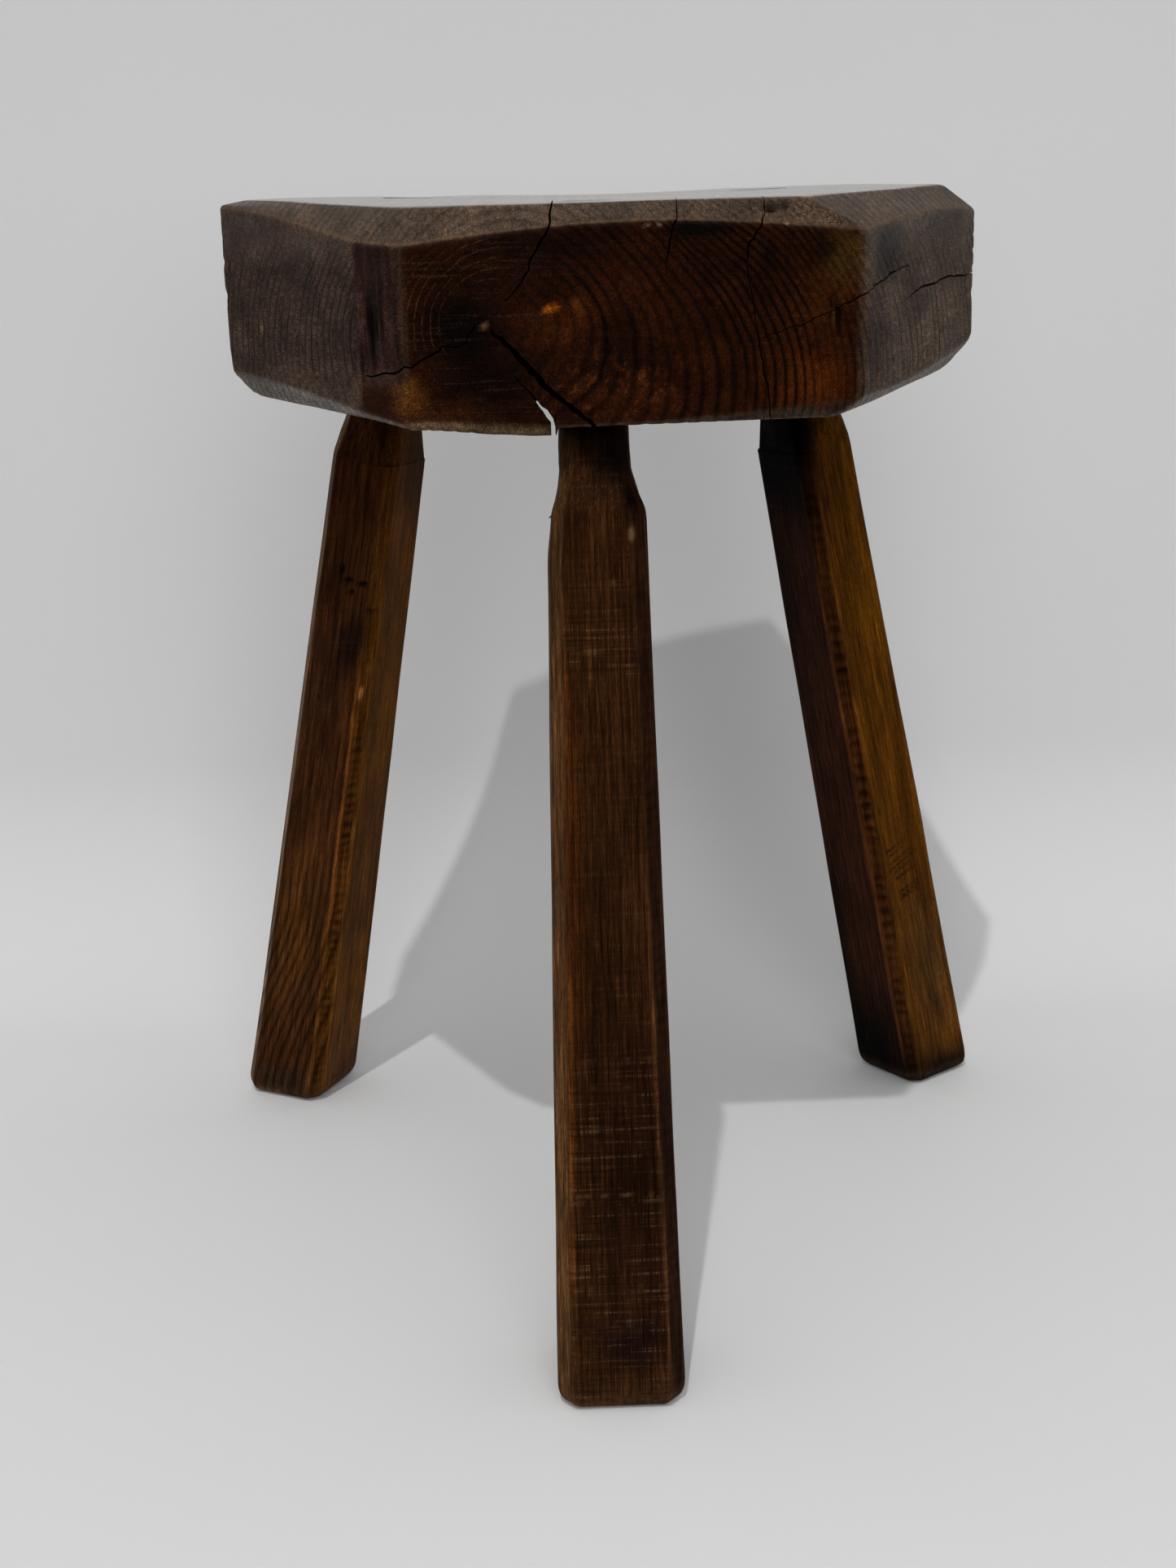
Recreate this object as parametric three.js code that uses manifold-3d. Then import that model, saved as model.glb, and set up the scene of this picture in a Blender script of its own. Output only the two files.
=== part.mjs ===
// A three-legged milking stool, hewn by hand from solid wood.
// Millimetres, +Z up. The soles stand on z = 0 and the front leg points to -Y.
// The seat is one slab cut across a log, and its grain runs along Y. Each leg ends in a round tapered
// tenon that goes right through the seat, where a wedge driven from above spreads it.

import * as THREE from 'three';
import { mergeVertices } from 'three/addons/utils/BufferGeometryUtils.js';
import Module from 'manifold-3d';

const wasm = await Module();
wasm.setup();

// --- Driving dimensions ---------------------------------------------------------------------------

const SEAT_TOP = 431.5;
const SEAT_UNDERSIDE = 354;
const FIT_GAP = 0.3;

// The seat's corners, counter-clockwise from the front left: the plan of the upright band, the heights
// between which it stands, and the corners of the flat top and of the flat underside.
const SEAT_CORNERS = [
  { band: [-67, -123], low: 355.5, high: 419, top: [-51, -102], under: [-65, -120] },
  { band: [97, -125], low: 362, high: 420, top: [76, -114], under: [86, -122] },
  { band: [161, 16], low: 369, high: 421, top: [148, 20], under: [147, 16] },
  { band: [139, 82], low: 366, high: 421, top: [126, 74], under: [127, 76] },
  { band: [71, 159], low: 361, high: 419, top: [63, 142], under: [65, 146] },
  { band: [-74, 136], low: 360, high: 420, top: [-67, 119], under: [-68, 124] },
  { band: [-122, 52], low: 362, high: 425, top: [-109, 47], under: [-110, 48] },
  { band: [-148, -4], low: 366, high: 429.5, top: [-137, -1], under: [-137, -4] },
  { band: [-85, -106], low: 359, high: 420.5, top: [-65, -93], under: [-76, -99] },
];
// How far the top chamfer's lower edge rises midway along the side that follows each corner.
const CHAMFER_ARCHES = [6.2, 3.3, 2, 3, 5, 3, 2, 1.9, 0];
const STEPS_PER_SIDE = 6;

// A split that runs front to back through the underside's edge, beside the front leg.
const NOTCH = { left: -18.2, right: -14.2, apex: -20, height: 364, front: -150, back: -110 };

const LEG_CIRCLE = 180;
const LEG_SPLAY = 0.22;
const FOOT_WEAR = 2.5;
const SHOULDER_Z = 320;
const TENON_RADIUS_UNDER = 12.8;
const TENON_RADIUS_TOP = 11.6;

// half: half the leg's width at the sole and at the shoulder. edge: the cut off each long corner.
// twist: how far the squared section is turned about the leg's own axis, in degrees. neckZ: where the
// shoulder's taper ends and the tenon's taper begins.
const LEGS = [
  { side: 'front', azimuth: -90, halfFoot: 24, halfShoulder: 18.1, edge: 5.7, twist: 0.7, neckZ: 336 },
  { side: 'left', azimuth: 150, halfFoot: 21.2, halfShoulder: 17, edge: 5.2, twist: 4.5, neckZ: 349 },
  { side: 'right', azimuth: 30, halfFoot: 21, halfShoulder: 17, edge: 5, twist: 8.3, neckZ: 349 },
];

const WEDGE = { length: 30, thickTop: 4, thickTip: 1.2, width: 18 };

// --- Materials --------------------------------------------------------------------------------------

const SEAT_WOOD = new THREE.MeshStandardMaterial({ color: 0x4a2f22, roughness: 0.55, metalness: 0 });
const LEG_WOOD = new THREE.MeshStandardMaterial({ color: 0x5a3618, roughness: 0.5, metalness: 0 });
const WEDGE_WOOD = new THREE.MeshStandardMaterial({ color: 0x7a5534, roughness: 0.65, metalness: 0 });

// --- Closed bodies from stacked rings ----------------------------------------------------------------

// Joins rings of equally many points, lowest first and counter-clockwise from above, and closes both
// ends with a fan round the end ring's middle.
function loft(rings) {
  const count = rings[0].length;
  const points = rings.flat();
  const faces = [];
  for (let level = 0; level + 1 < rings.length; level += 1) {
    for (let i = 0; i < count; i += 1) {
      const j = (i + 1) % count;
      const a = level * count + i;
      const b = level * count + j;
      faces.push(a, b, b + count);
      faces.push(a, b + count, a + count);
    }
  }
  const last = (rings.length - 1) * count;
  const bottom = points.push(middleOf(rings[0])) - 1;
  const top = points.push(middleOf(rings.at(-1))) - 1;
  for (let i = 0; i < count; i += 1) {
    const j = (i + 1) % count;
    faces.push(bottom, j, i);
    faces.push(top, last + i, last + j);
  }
  const geometry = new THREE.BufferGeometry().setFromPoints(points);
  geometry.setIndex(faces);
  return geometry;
}

function middleOf(ring) {
  const sum = ring.reduce((total, point) => total.add(point), new THREE.Vector3());
  return sum.divideScalar(ring.length);
}

// --- Joining and cutting -----------------------------------------------------------------------------

function toSolid(geometry) {
  const bare = geometry.clone();
  bare.deleteAttribute('normal');
  bare.deleteAttribute('uv');
  const merged = mergeVertices(bare, 1e-4);
  return new wasm.Manifold(new wasm.Mesh({
    numProp: 3,
    vertProperties: new Float32Array(merged.attributes.position.array),
    triVerts: new Uint32Array(merged.index.array),
  }));
}

function toGeometry(solid) {
  const mesh = solid.getMesh();
  const geometry = new THREE.BufferGeometry();
  geometry.setAttribute('position', new THREE.BufferAttribute(mesh.vertProperties, 3));
  geometry.setIndex(new THREE.BufferAttribute(mesh.triVerts, 1));
  geometry.computeVertexNormals();
  return geometry;
}

function cut(geometry, cutters) {
  const solid = cutters.reduce((body, cutter) => body.subtract(toSolid(cutter)), toSolid(geometry));
  return toGeometry(solid);
}

// --- Seat --------------------------------------------------------------------------------------------

// Walks round the seat in even steps between corners and calls place(from, to, t, arch) at each.
function aroundSeat(place) {
  const ring = [];
  SEAT_CORNERS.forEach((from, i) => {
    const to = SEAT_CORNERS[(i + 1) % SEAT_CORNERS.length];
    for (let step = 0; step < STEPS_PER_SIDE; step += 1) {
      const t = step / STEPS_PER_SIDE;
      ring.push(place(from, to, t, CHAMFER_ARCHES[i] * Math.sin(Math.PI * t)));
    }
  });
  return ring;
}

function between(a, b, t, z) {
  return new THREE.Vector3(THREE.MathUtils.lerp(a[0], b[0], t), THREE.MathUtils.lerp(a[1], b[1], t), z);
}

function seatBody() {
  const { lerp } = THREE.MathUtils;
  const under = aroundSeat((from, to, t) => between(from.under, to.under, t, SEAT_UNDERSIDE));
  const low = aroundSeat((from, to, t) => between(from.band, to.band, t, lerp(from.low, to.low, t)));
  const high = aroundSeat((from, to, t, arch) => (
    between(from.band, to.band, t, lerp(from.high, to.high, t) + arch)
  ));
  const top = aroundSeat((from, to, t) => between(from.top, to.top, t, SEAT_TOP));
  return loft([under, low, high, top]);
}

// A wedge-shaped prism, open downwards, with its apex leaning to the left.
function notchCutter() {
  const outline = new THREE.Shape();
  outline.moveTo(NOTCH.left, SEAT_UNDERSIDE - 1);
  outline.lineTo(NOTCH.right, SEAT_UNDERSIDE - 1);
  outline.lineTo(NOTCH.apex, NOTCH.height);
  outline.closePath();
  const geometry = new THREE.ExtrudeGeometry(outline, {
    depth: NOTCH.back - NOTCH.front,
    bevelEnabled: false,
  });
  geometry.rotateX(Math.PI / 2);
  geometry.translate(0, NOTCH.back, 0);
  return geometry;
}

// --- Legs --------------------------------------------------------------------------------------------

// Sixteen points round a squared section with its corners cut, or round a circle, or part way between.
function legSection(half, edge, roundness) {
  const flat = half - edge;
  const slant = half - edge / 2;
  const quarter = [[half, 0], [half, flat], [slant, slant], [flat, half]];
  const points = [];
  for (let turn = 0; turn < 4; turn += 1) {
    quarter.forEach(([x, y], k) => {
      const angle = (turn * Math.PI) / 2;
      const square = new THREE.Vector2(x, y).rotateAround(new THREE.Vector2(), angle);
      const round = new THREE.Vector2(half, 0).rotateAround(new THREE.Vector2(), angle + (k * Math.PI) / 8);
      points.push(square.lerp(round, roundness));
    });
  }
  return points;
}

function legFrame(leg) {
  const azimuth = THREE.MathUtils.degToRad(leg.azimuth);
  const outward = new THREE.Vector3(Math.cos(azimuth), Math.sin(azimuth), 0);
  const along = outward.clone().multiplyScalar(-LEG_SPLAY).setZ(1).normalize();
  const across = new THREE.Vector3().crossVectors(along, outward).normalize();
  const out = new THREE.Vector3().crossVectors(across, along);
  return { outward, along, across, out };
}

function axisPoint(frame, z) {
  return frame.outward.clone().multiplyScalar(LEG_CIRCLE - LEG_SPLAY * z).setZ(z);
}

// One section square to the leg's axis where the axis is at height z. A level section's points slide
// along the leg on to the horizontal plane at that height, as a saw cut across the leg leaves them.
function legRing(leg, z, section, level = false) {
  const frame = legFrame(leg);
  const turn = THREE.MathUtils.degToRad(leg.twist);
  return section.map((point) => {
    const p = point.clone().rotateAround(new THREE.Vector2(), turn);
    const place = axisPoint(frame, z).addScaledVector(frame.out, p.x).addScaledVector(frame.across, p.y);
    if (level) {
      place.addScaledVector(frame.along, (z - place.z) / frame.along.z);
    }
    return place;
  });
}

function tenonRadius(z) {
  return THREE.MathUtils.mapLinear(z, SEAT_UNDERSIDE, SEAT_TOP, TENON_RADIUS_UNDER, TENON_RADIUS_TOP);
}

function legBody(leg) {
  const { halfFoot, halfShoulder, edge } = leg;
  const worn = legSection(halfFoot - FOOT_WEAR, edge, 0.3);
  const foot = legSection(halfFoot, edge, 0);
  const shoulder = legSection(halfShoulder, edge, 0);
  const neck = legSection(tenonRadius(leg.neckZ), 0, 1);
  const end = legSection(tenonRadius(SEAT_TOP), 0, 1);
  return loft([
    legRing(leg, 0, worn, true),
    legRing(leg, FOOT_WEAR, foot, true),
    legRing(leg, SHOULDER_Z, shoulder, true),
    legRing(leg, leg.neckZ, neck),
    legRing(leg, SEAT_TOP, end, true),
  ]);
}

// The tapered hole that a leg's tenon fits, run well past the seat's faces.
function mortiseCutter(leg) {
  const reach = 30;
  const ringAt = (z) => legRing(leg, z, legSection(tenonRadius(z) + FIT_GAP, 0, 1));
  return loft([ringAt(SEAT_UNDERSIDE - reach), ringAt(SEAT_TOP + reach)]);
}

// --- Wedges ------------------------------------------------------------------------------------------

// A wedge across the tenon's end, its broad faces square to the seat's grain, flush with the top.
function wedgeBody(leg, grow = 0, rise = 0) {
  const frame = legFrame(leg);
  const ringAt = (depth, thick) => {
    const middle = axisPoint(frame, SEAT_TOP - depth);
    const halfWidth = WEDGE.width / 2 + grow;
    const halfThick = thick / 2 + grow;
    const corners = [
      [-halfWidth, -halfThick],
      [halfWidth, -halfThick],
      [halfWidth, halfThick],
      [-halfWidth, halfThick],
    ];
    return corners.map(([x, y]) => new THREE.Vector3(middle.x + x, middle.y + y, middle.z));
  };
  return loft([ringAt(WEDGE.length + grow, WEDGE.thickTip), ringAt(-rise, WEDGE.thickTop)]);
}

// --- Assembly ----------------------------------------------------------------------------------------

const stool = new THREE.Group();

function addPiece(name, geometry, material) {
  const mesh = new THREE.Mesh(geometry, material);
  mesh.name = name;
  stool.add(mesh);
}

addPiece('seat', cut(seatBody(), [notchCutter(), ...LEGS.map(mortiseCutter)]), SEAT_WOOD);

for (const leg of LEGS) {
  addPiece(`leg_${leg.side}`, cut(legBody(leg), [wedgeBody(leg, FIT_GAP, 5)]), LEG_WOOD);
  addPiece(`wedge_${leg.side}`, wedgeBody(leg), WEDGE_WOOD);
}

// The stool's origin is on the floor, under the middle of its overall box.
const middle = new THREE.Box3().setFromObject(stool).getCenter(new THREE.Vector3());
stool.position.set(-middle.x, -middle.y, 0);

export default stool;
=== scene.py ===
"""A hand-hewn three-legged milking stool on a pale studio sweep.

Shapes are worked out in millimetres in the stool's own plan, whose origin is on the floor in the middle of
the three feet, with the front leg at -Y. Mesh builders move them to the frame and turn them to metres.
"""

import math

import bmesh
import bpy
import numpy as np
from mathutils import Matrix, Vector
from mathutils.bvhtree import BVHTree
from mathutils.kdtree import KDTree


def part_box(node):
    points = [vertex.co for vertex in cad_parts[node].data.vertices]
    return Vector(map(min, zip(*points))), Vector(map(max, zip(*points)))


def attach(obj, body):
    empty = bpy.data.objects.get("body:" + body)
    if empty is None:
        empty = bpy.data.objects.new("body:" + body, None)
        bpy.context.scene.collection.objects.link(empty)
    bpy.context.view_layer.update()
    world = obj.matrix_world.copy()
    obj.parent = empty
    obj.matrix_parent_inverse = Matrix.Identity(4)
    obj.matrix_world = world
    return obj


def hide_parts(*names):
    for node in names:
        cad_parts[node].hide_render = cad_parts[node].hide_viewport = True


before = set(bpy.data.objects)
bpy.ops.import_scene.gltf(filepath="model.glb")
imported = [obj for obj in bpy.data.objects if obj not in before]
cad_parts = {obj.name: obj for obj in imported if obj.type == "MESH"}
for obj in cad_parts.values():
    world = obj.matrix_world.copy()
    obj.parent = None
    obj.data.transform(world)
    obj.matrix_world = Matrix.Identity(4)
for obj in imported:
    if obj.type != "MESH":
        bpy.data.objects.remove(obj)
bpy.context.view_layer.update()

MM = 0.001

# --- Driving dimensions, in millimetres ----------------------------------------------------------------

SEAT_TOP = 431.5
SEAT_UNDERSIDE = 354.0
SEAT_LEFT = -148.0
SEAT_BACK = 159.0
PITH = (-38.7, 391.3)  # the log's centre on the seat's front, as (x, z)
FOOT_REACH = 180.0  # from the middle of the floor to each leg's axis
SPLAY = 0.22  # how far a leg's axis draws in for each millimetre of height
MORTISE_GAP = 0.3

# The seat's corners, counter-clockwise from the front left: the plan of the upright band, the heights
# between which it stands, and the corners of the top and of the underside.
SEAT_CORNERS = [
    dict(band=(-67, -123), low=355.5, high=419, top=(-51, -102), under=(-65, -120)),
    dict(band=(97, -125), low=362, high=420, top=(76, -114), under=(86, -122)),
    dict(band=(161, 16), low=369, high=421, top=(148, 20), under=(147, 16)),
    dict(band=(139, 82), low=366, high=421, top=(126, 74), under=(127, 76)),
    dict(band=(71, 159), low=361, high=419, top=(63, 142), under=(65, 146)),
    dict(band=(-74, 136), low=360, high=420, top=(-67, 119), under=(-68, 124)),
    dict(band=(-122, 52), low=362, high=425, top=(-109, 47), under=(-110, 48)),
    dict(band=(-148, -4), low=366, high=429.5, top=(-137, -1), under=(-137, -4)),
    dict(band=(-85, -106), low=359, high=420.5, top=(-65, -93), under=(-76, -99)),
]
# The sides that start at those corners, and how far each one's upper and lower edges bow up at the middle.
SIDE_NAMES = ["front", "right", "right_end", "back_right", "back", "back_left", "left_end", "left", "torn"]
CHAMFER_ARCHES = [6.2, 3.3, 2, 3, 5, 3, 2, 1.9, 0]
LOW_ARCHES = [-4.2, -3.2, 0, 0, 0, 0, 0, 1.5, 0]

# --- Frame and stool plan ------------------------------------------------------------------------------

seat_low, seat_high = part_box("seat")
PLAN_ORIGIN = np.array([seat_low[0] - SEAT_LEFT * MM, seat_high[1] - SEAT_BACK * MM, 0.0])


def to_frame(points):
    """Plan millimetres to frame metres."""
    return np.asarray(points, float) * MM + PLAN_ORIGIN


# --- Seeded noise --------------------------------------------------------------------------------------


def lattice(ix, iy, iz, seed):
    """A repeatable number from 0 to 1 for each whole-numbered lattice point."""
    h = (ix * 374761393 + iy * 668265263 + iz * 2147483629 + seed * 974634777) & 0xFFFFFFFF
    h = ((h ^ (h >> 13)) * 1274126177) & 0xFFFFFFFF
    return ((h ^ (h >> 16)) & 0xFFFFFF) / float(0xFFFFFF)


def noise(points, size, seed=0):
    """Smooth noise from -1 to 1 whose bumps measure size (one number, or one per axis) in millimetres."""
    p = np.asarray(points, float) / np.asarray(size, float)
    cell = np.floor(p).astype(np.int64)
    f = p - cell
    w = f * f * (3.0 - 2.0 * f)
    total = np.zeros(len(p))
    for dx in (0, 1):
        for dy in (0, 1):
            for dz in (0, 1):
                value = lattice(cell[:, 0] + dx, cell[:, 1] + dy, cell[:, 2] + dz, seed)
                wx = w[:, 0] if dx else 1 - w[:, 0]
                wy = w[:, 1] if dy else 1 - w[:, 1]
                wz = w[:, 2] if dz else 1 - w[:, 2]
                total += value * wx * wy * wz
    return total * 2 - 1


def layered_noise(points, size, seed=0, octaves=3):
    """Noise with finer, weaker layers added, from about -1 to 1."""
    size = np.asarray(size, float)
    total, weight = 0.0, 0.0
    for k in range(octaves):
        total = total + noise(points, size / 2**k, seed + 17 * k) * 0.5**k
        weight += 0.5**k
    return total / weight


def smoothstep(low, high, value):
    t = np.clip((value - low) / (high - low), 0, 1)
    return t * t * (3 - 2 * t)


def blob(points, centre, radii):
    """1 at centre, fading smoothly to 0 at the ellipsoid with those radii."""
    d = np.sqrt((((points - np.asarray(centre, float)) / np.asarray(radii, float)) ** 2).sum(1))
    return smoothstep(1.0, 0.15, d)


# --- Meshes from grids ---------------------------------------------------------------------------------


def grid_faces(levels, columns):
    """Quads of a tube of levels by columns points, wound to face outwards."""
    i = np.arange(columns)
    j = (i + 1) % columns
    quads = []
    for level in range(levels - 1):
        a, b = level * columns + i, level * columns + j
        quads.append(np.stack([a, b, b + columns, a + columns], 1))
    return np.concatenate(quads)


def cap_faces(ring_start, columns, middle, upwards):
    i = np.arange(columns)
    j = (i + 1) % columns
    a, b = (i, j) if upwards else (j, i)
    return np.stack([np.full(columns, middle), ring_start + a, ring_start + b], 1)


def make_mesh(name, points, quads, tris=()):
    """A Blender object from plan points in millimetres."""
    faces = [tuple(q) for q in quads.tolist()]
    for group in tris:
        faces += [tuple(t) for t in group.tolist()]
    mesh = bpy.data.meshes.new(name)
    mesh.from_pydata(to_frame(points).tolist(), [], faces)
    mesh.update()
    piece = bpy.data.objects.new(name, mesh)
    bpy.context.scene.collection.objects.link(piece)
    return piece


def plan_points(piece):
    """The object's vertices, back in plan millimetres."""
    count = len(piece.data.vertices)
    flat = np.empty(count * 3, np.float32)
    piece.data.vertices.foreach_get("co", flat)
    return (flat.reshape(count, 3).astype(float) - PLAN_ORIGIN) / MM


def plan_normals(piece):
    count = len(piece.data.vertices)
    flat = np.empty(count * 3, np.float32)
    piece.data.vertices.foreach_get("normal", flat)
    return flat.reshape(count, 3).astype(float)


def move_points(piece, points):
    piece.data.vertices.foreach_set("co", to_frame(points).astype(np.float32).ravel())
    piece.data.update()


def set_value(piece, name, values):
    layer = piece.data.attributes.new(name, "FLOAT", "POINT")
    layer.data.foreach_set("value", np.asarray(values, np.float32))


def set_colour(piece, name, colours):
    layer = piece.data.color_attributes.new(name, "FLOAT_COLOR", "POINT")
    rgba = np.concatenate([colours, np.ones((len(colours), 1))], 1)
    layer.data.foreach_set("color", rgba.astype(np.float32).ravel())


def shade_smooth(piece, sharp_degrees):
    """Smooth shading, but with the creases sharper than that angle kept."""
    mesh = piece.data
    mesh.polygons.foreach_set("use_smooth", [True] * len(mesh.polygons))
    mesh.set_sharp_from_angle(angle=math.radians(sharp_degrees))


def cut_away(piece, cutters):
    """Takes each closed cutter's volume out of the piece, and removes the cutters."""
    for cutter in cutters:
        boolean = piece.modifiers.new("cut", "BOOLEAN")
        boolean.operation = "DIFFERENCE"
        boolean.solver = "MANIFOLD"
        boolean.object = cutter
    depsgraph = bpy.context.evaluated_depsgraph_get()
    done = bpy.data.meshes.new_from_object(piece.evaluated_get(depsgraph))
    piece.modifiers.clear()
    piece.data = done
    for cutter in cutters:
        bpy.data.objects.remove(cutter)


# --- Seat shape ----------------------------------------------------------------------------------------


def seat_columns():
    """For each column round the seat: the side it is on, and how far along that side it stands."""
    fine, coarse = 0.95, 2.2
    spacing = dict(front=fine, right=fine, left=fine, torn=0.8, right_end=1.6)
    sides, fractions = [], []
    for i, name in enumerate(SIDE_NAMES):
        a = np.array(SEAT_CORNERS[i]["band"], float)
        b = np.array(SEAT_CORNERS[(i + 1) % len(SEAT_CORNERS)]["band"], float)
        count = int(round(np.linalg.norm(b - a) / spacing.get(name, coarse)))
        sides += [i] * count
        fractions += (np.arange(count) / count).tolist()
    return np.array(sides), np.array(fractions)


def seat_outline(sides, t, key, z_key=None, z=0.0, arches=None):
    """The ring of points that joins the corners' key points, with heights from z_key or z."""
    first = np.array([c[key] for c in SEAT_CORNERS], float)
    last = np.roll(first, -1, axis=0)
    xy = first[sides] * (1 - t)[:, None] + last[sides] * t[:, None]
    heights = np.full(len(t), float(z))
    if z_key:
        h = np.array([c[z_key] for c in SEAT_CORNERS], float)
        heights = h[sides] * (1 - t) + np.roll(h, -1)[sides] * t
        heights += np.array(arches)[sides] * np.sin(np.pi * t)
    return np.column_stack([xy, heights])


def rings_between(lower, upper, count):
    steps = np.arange(count) / count
    return [lower * (1 - s) + upper * s for s in steps]


def seat_grid():
    """The seat's rings from the middle of the underside round to the middle of the top."""
    sides, t = seat_columns()
    under = seat_outline(sides, t, "under", z=SEAT_UNDERSIDE)
    low = seat_outline(sides, t, "band", "low", arches=LOW_ARCHES)
    high = seat_outline(sides, t, "band", "high", arches=CHAMFER_ARCHES)
    top = seat_outline(sides, t, "top", z=SEAT_TOP)
    centre = np.array([0.0, 5.0, 0.0])
    hub_share = np.array([0.04, 0.04, 1])
    under_hub = (under - centre) * hub_share + centre
    top_hub = (top - centre) * hub_share + centre
    rings = [under_hub * (1 - s) + under * s for s in np.linspace(0, 1, 12) ** 0.7][:-1]
    rings += rings_between(under, low, 7)
    rings += rings_between(low, high, 62)
    rings += rings_between(high, top, 17)
    rings += [top * (1 - s) + top_hub * s for s in np.linspace(0, 1, 20) ** 1.25]
    return np.array(rings)


def soften(rings, passes):
    """Rounds the arrises of a closed grid a little by averaging neighbours."""
    for _ in range(passes):
        around = (np.roll(rings, 1, axis=1) + np.roll(rings, -1, axis=1)) / 2
        inner = rings.copy()
        inner[1:-1] = (rings[:-2] + rings[2:]) / 2
        rings = rings * 0.5 + around * 0.2 + inner * 0.3
    return rings


def ring_phase(points):
    """How many growth rings lie between the pith and each point. The rings are wider to the right."""
    x = points[:, 0] - PITH[0]
    sag = 24 * smoothstep(15, 90, x) + 14 * smoothstep(20, 80, -x)
    z = points[:, 2] - PITH[1] + sag
    z = np.where(z > 0, z * 1.3, z)
    bend = layered_noise(points, (40, 90, 40), seed=5, octaves=2) * 2.0
    ripple = noise(points, (9, 60, 14), seed=8) * 0.6
    radius = np.hypot(x, z) + (bend + ripple) * smoothstep(4, 40, np.hypot(x, z))
    lean = x / np.maximum(np.hypot(x, z), 1.0)
    even = radius / (1 + 0.25 * lean)
    narrow_right = np.interp(even, [0, 74, 95, 200], [0, 16.1, 23.9, 70])
    leftward = smoothstep(0.2, -0.8, lean)
    return narrow_right * (1 - leftward) + even / 3.9 * leftward


def ring_ridge(phase):
    """0 in the groove between two rings, 1 on the ring's back, steeper on one side."""
    saw = phase - np.floor(phase)
    return smoothstep(0.0, 0.22, saw) * smoothstep(1.0, 0.72, saw)


def side_weights(sides, levels, normals):
    """How much of each point belongs to each side of the seat, and how far it faces up or down.

    rim is the chamfer under the seat's left, torn and right sides.
    """
    upright = 1 - smoothstep(0.2, 0.6, np.abs(normals[:, 2]))
    facing = {"upright": upright}
    facing["up"] = smoothstep(0.25, 0.8, normals[:, 2])
    facing["down"] = smoothstep(0.25, 0.7, -normals[:, 2])
    sloped = facing["down"] * smoothstep(0.97, 0.86, -normals[:, 2])
    facing["rim"] = np.zeros(len(normals))
    for name in ("front", "right", "left", "torn"):
        mine = (sides == SIDE_NAMES.index(name)) * 1.0
        share = sum(np.roll(mine, k) for k in range(-3, 4)) / 7
        on_side = np.concatenate([np.tile(share, levels), [0, 0]])
        facing[name] = on_side * upright
        if name != "front":
            facing["rim"] += on_side * sloped
    return facing


# Dents in the seat: centre, radii, depth and look. The borer's hole, the knots on the top's edge and the
# deepest gouge are dark, the chips are pale, and the other gouges keep the wood's colour.
SEAT_PITS = [
    ((-41.5, -112, 430.5), (4.5, 5, 3), 3.2, "dark"),
    ((-45.5, -112, 430), (3, 3, 2), 1.6, "dark"),
    ((64, -118, 428.5), (4, 5, 3), 1.8, "dark"),
    ((69, -118, 429.5), (3, 5, 3), 1.5, "dark"),
    ((87, -125, 392), (1.3, 8, 11), 1.8, "dark"),
    ((84.6, -125, 394), (0.9, 8, 9), 1.2, "plain"),
    ((88, -125, 384), (1.0, 8, 6), 1.4, "plain"),
    ((-130, -34, 384.8), (1.2, 4, 3.2), 0.8, "pale"),
    ((20, -124, 423.4), (1.8, 4, 1.2), 0.7, "pale"),
    ((24.5, -124, 423.8), (1.6, 4, 1.1), 0.7, "pale"),
    ((69, -124, 422.8), (1.3, 4, 1.2), 0.7, "pale"),
]


# Where the torn corner's fibres are pulled out deepest: centre and radii. They fade out downwards between
# the heights below.
TORN_HOLLOW = ((-81, -110, 386), (22, 40, 26))
TORN_END = (366, 378)


def seat_relief(points, facing):
    """Heights in millimetres added along the normals: hewn waves, raised rings and torn fibres."""
    x, _, z = points.T
    height = layered_noise(points, (46, 46, 30), seed=31, octaves=2) * 0.45
    ridge = ring_ridge(ring_phase(points)) - 0.6
    fade_top = smoothstep(419, 404, z)
    strength = 0.12 * facing["upright"] + 0.25 * facing["down"]
    strength += (0.8 * facing["left"] + 0.6 * facing["right"]) * fade_top
    strength += facing["front"] * (0.08 + 0.5 * smoothstep(-20, 15, x))
    height += ridge * strength
    torn = layered_noise(points, (3.2, 3.2, 26), seed=44, octaves=3)
    torn_zone = facing["torn"] * smoothstep(*TORN_END, z) * fade_top
    height += torn * torn_zone * (0.5 + 0.9 * blob(points, *TORN_HOLLOW))
    chip = layered_noise(points, (4.5, 6, 8), seed=52, octaves=3)
    chip_zone = blob(points, (9, -124, 365), (36, 30, 21)) * facing["front"]
    height += np.minimum(chip, 0.25) * chip_zone * 1.3
    for centre, radii, depth, _ in SEAT_PITS:
        height -= blob(points, centre, radii) * depth
    return height


def seat_dish(points):
    """The top is worn a little hollow along its length, and its left edge stands proud."""
    on_top = smoothstep(SEAT_TOP - 8, SEAT_TOP - 1, points[:, 2])
    hollow = 1.7 * np.exp(-(((points[:, 0] - 18) / 62) ** 2)) * smoothstep(-105, 60, points[:, 1])
    rise = 2.2 * smoothstep(-70, -140, points[:, 0])
    back = 0.8 * smoothstep(60, 125, points[:, 1])
    return (rise - hollow - back) * on_top


def hanging_lip(points):
    """Left of the split the underside's front edge hangs lower."""
    x, y, z = points.T
    along = smoothstep(-62, -20, x) * (x < -13.5)
    near_front = smoothstep(-70, -118, y)
    return -2.6 * along * near_front * smoothstep(366, 357, z)


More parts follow.
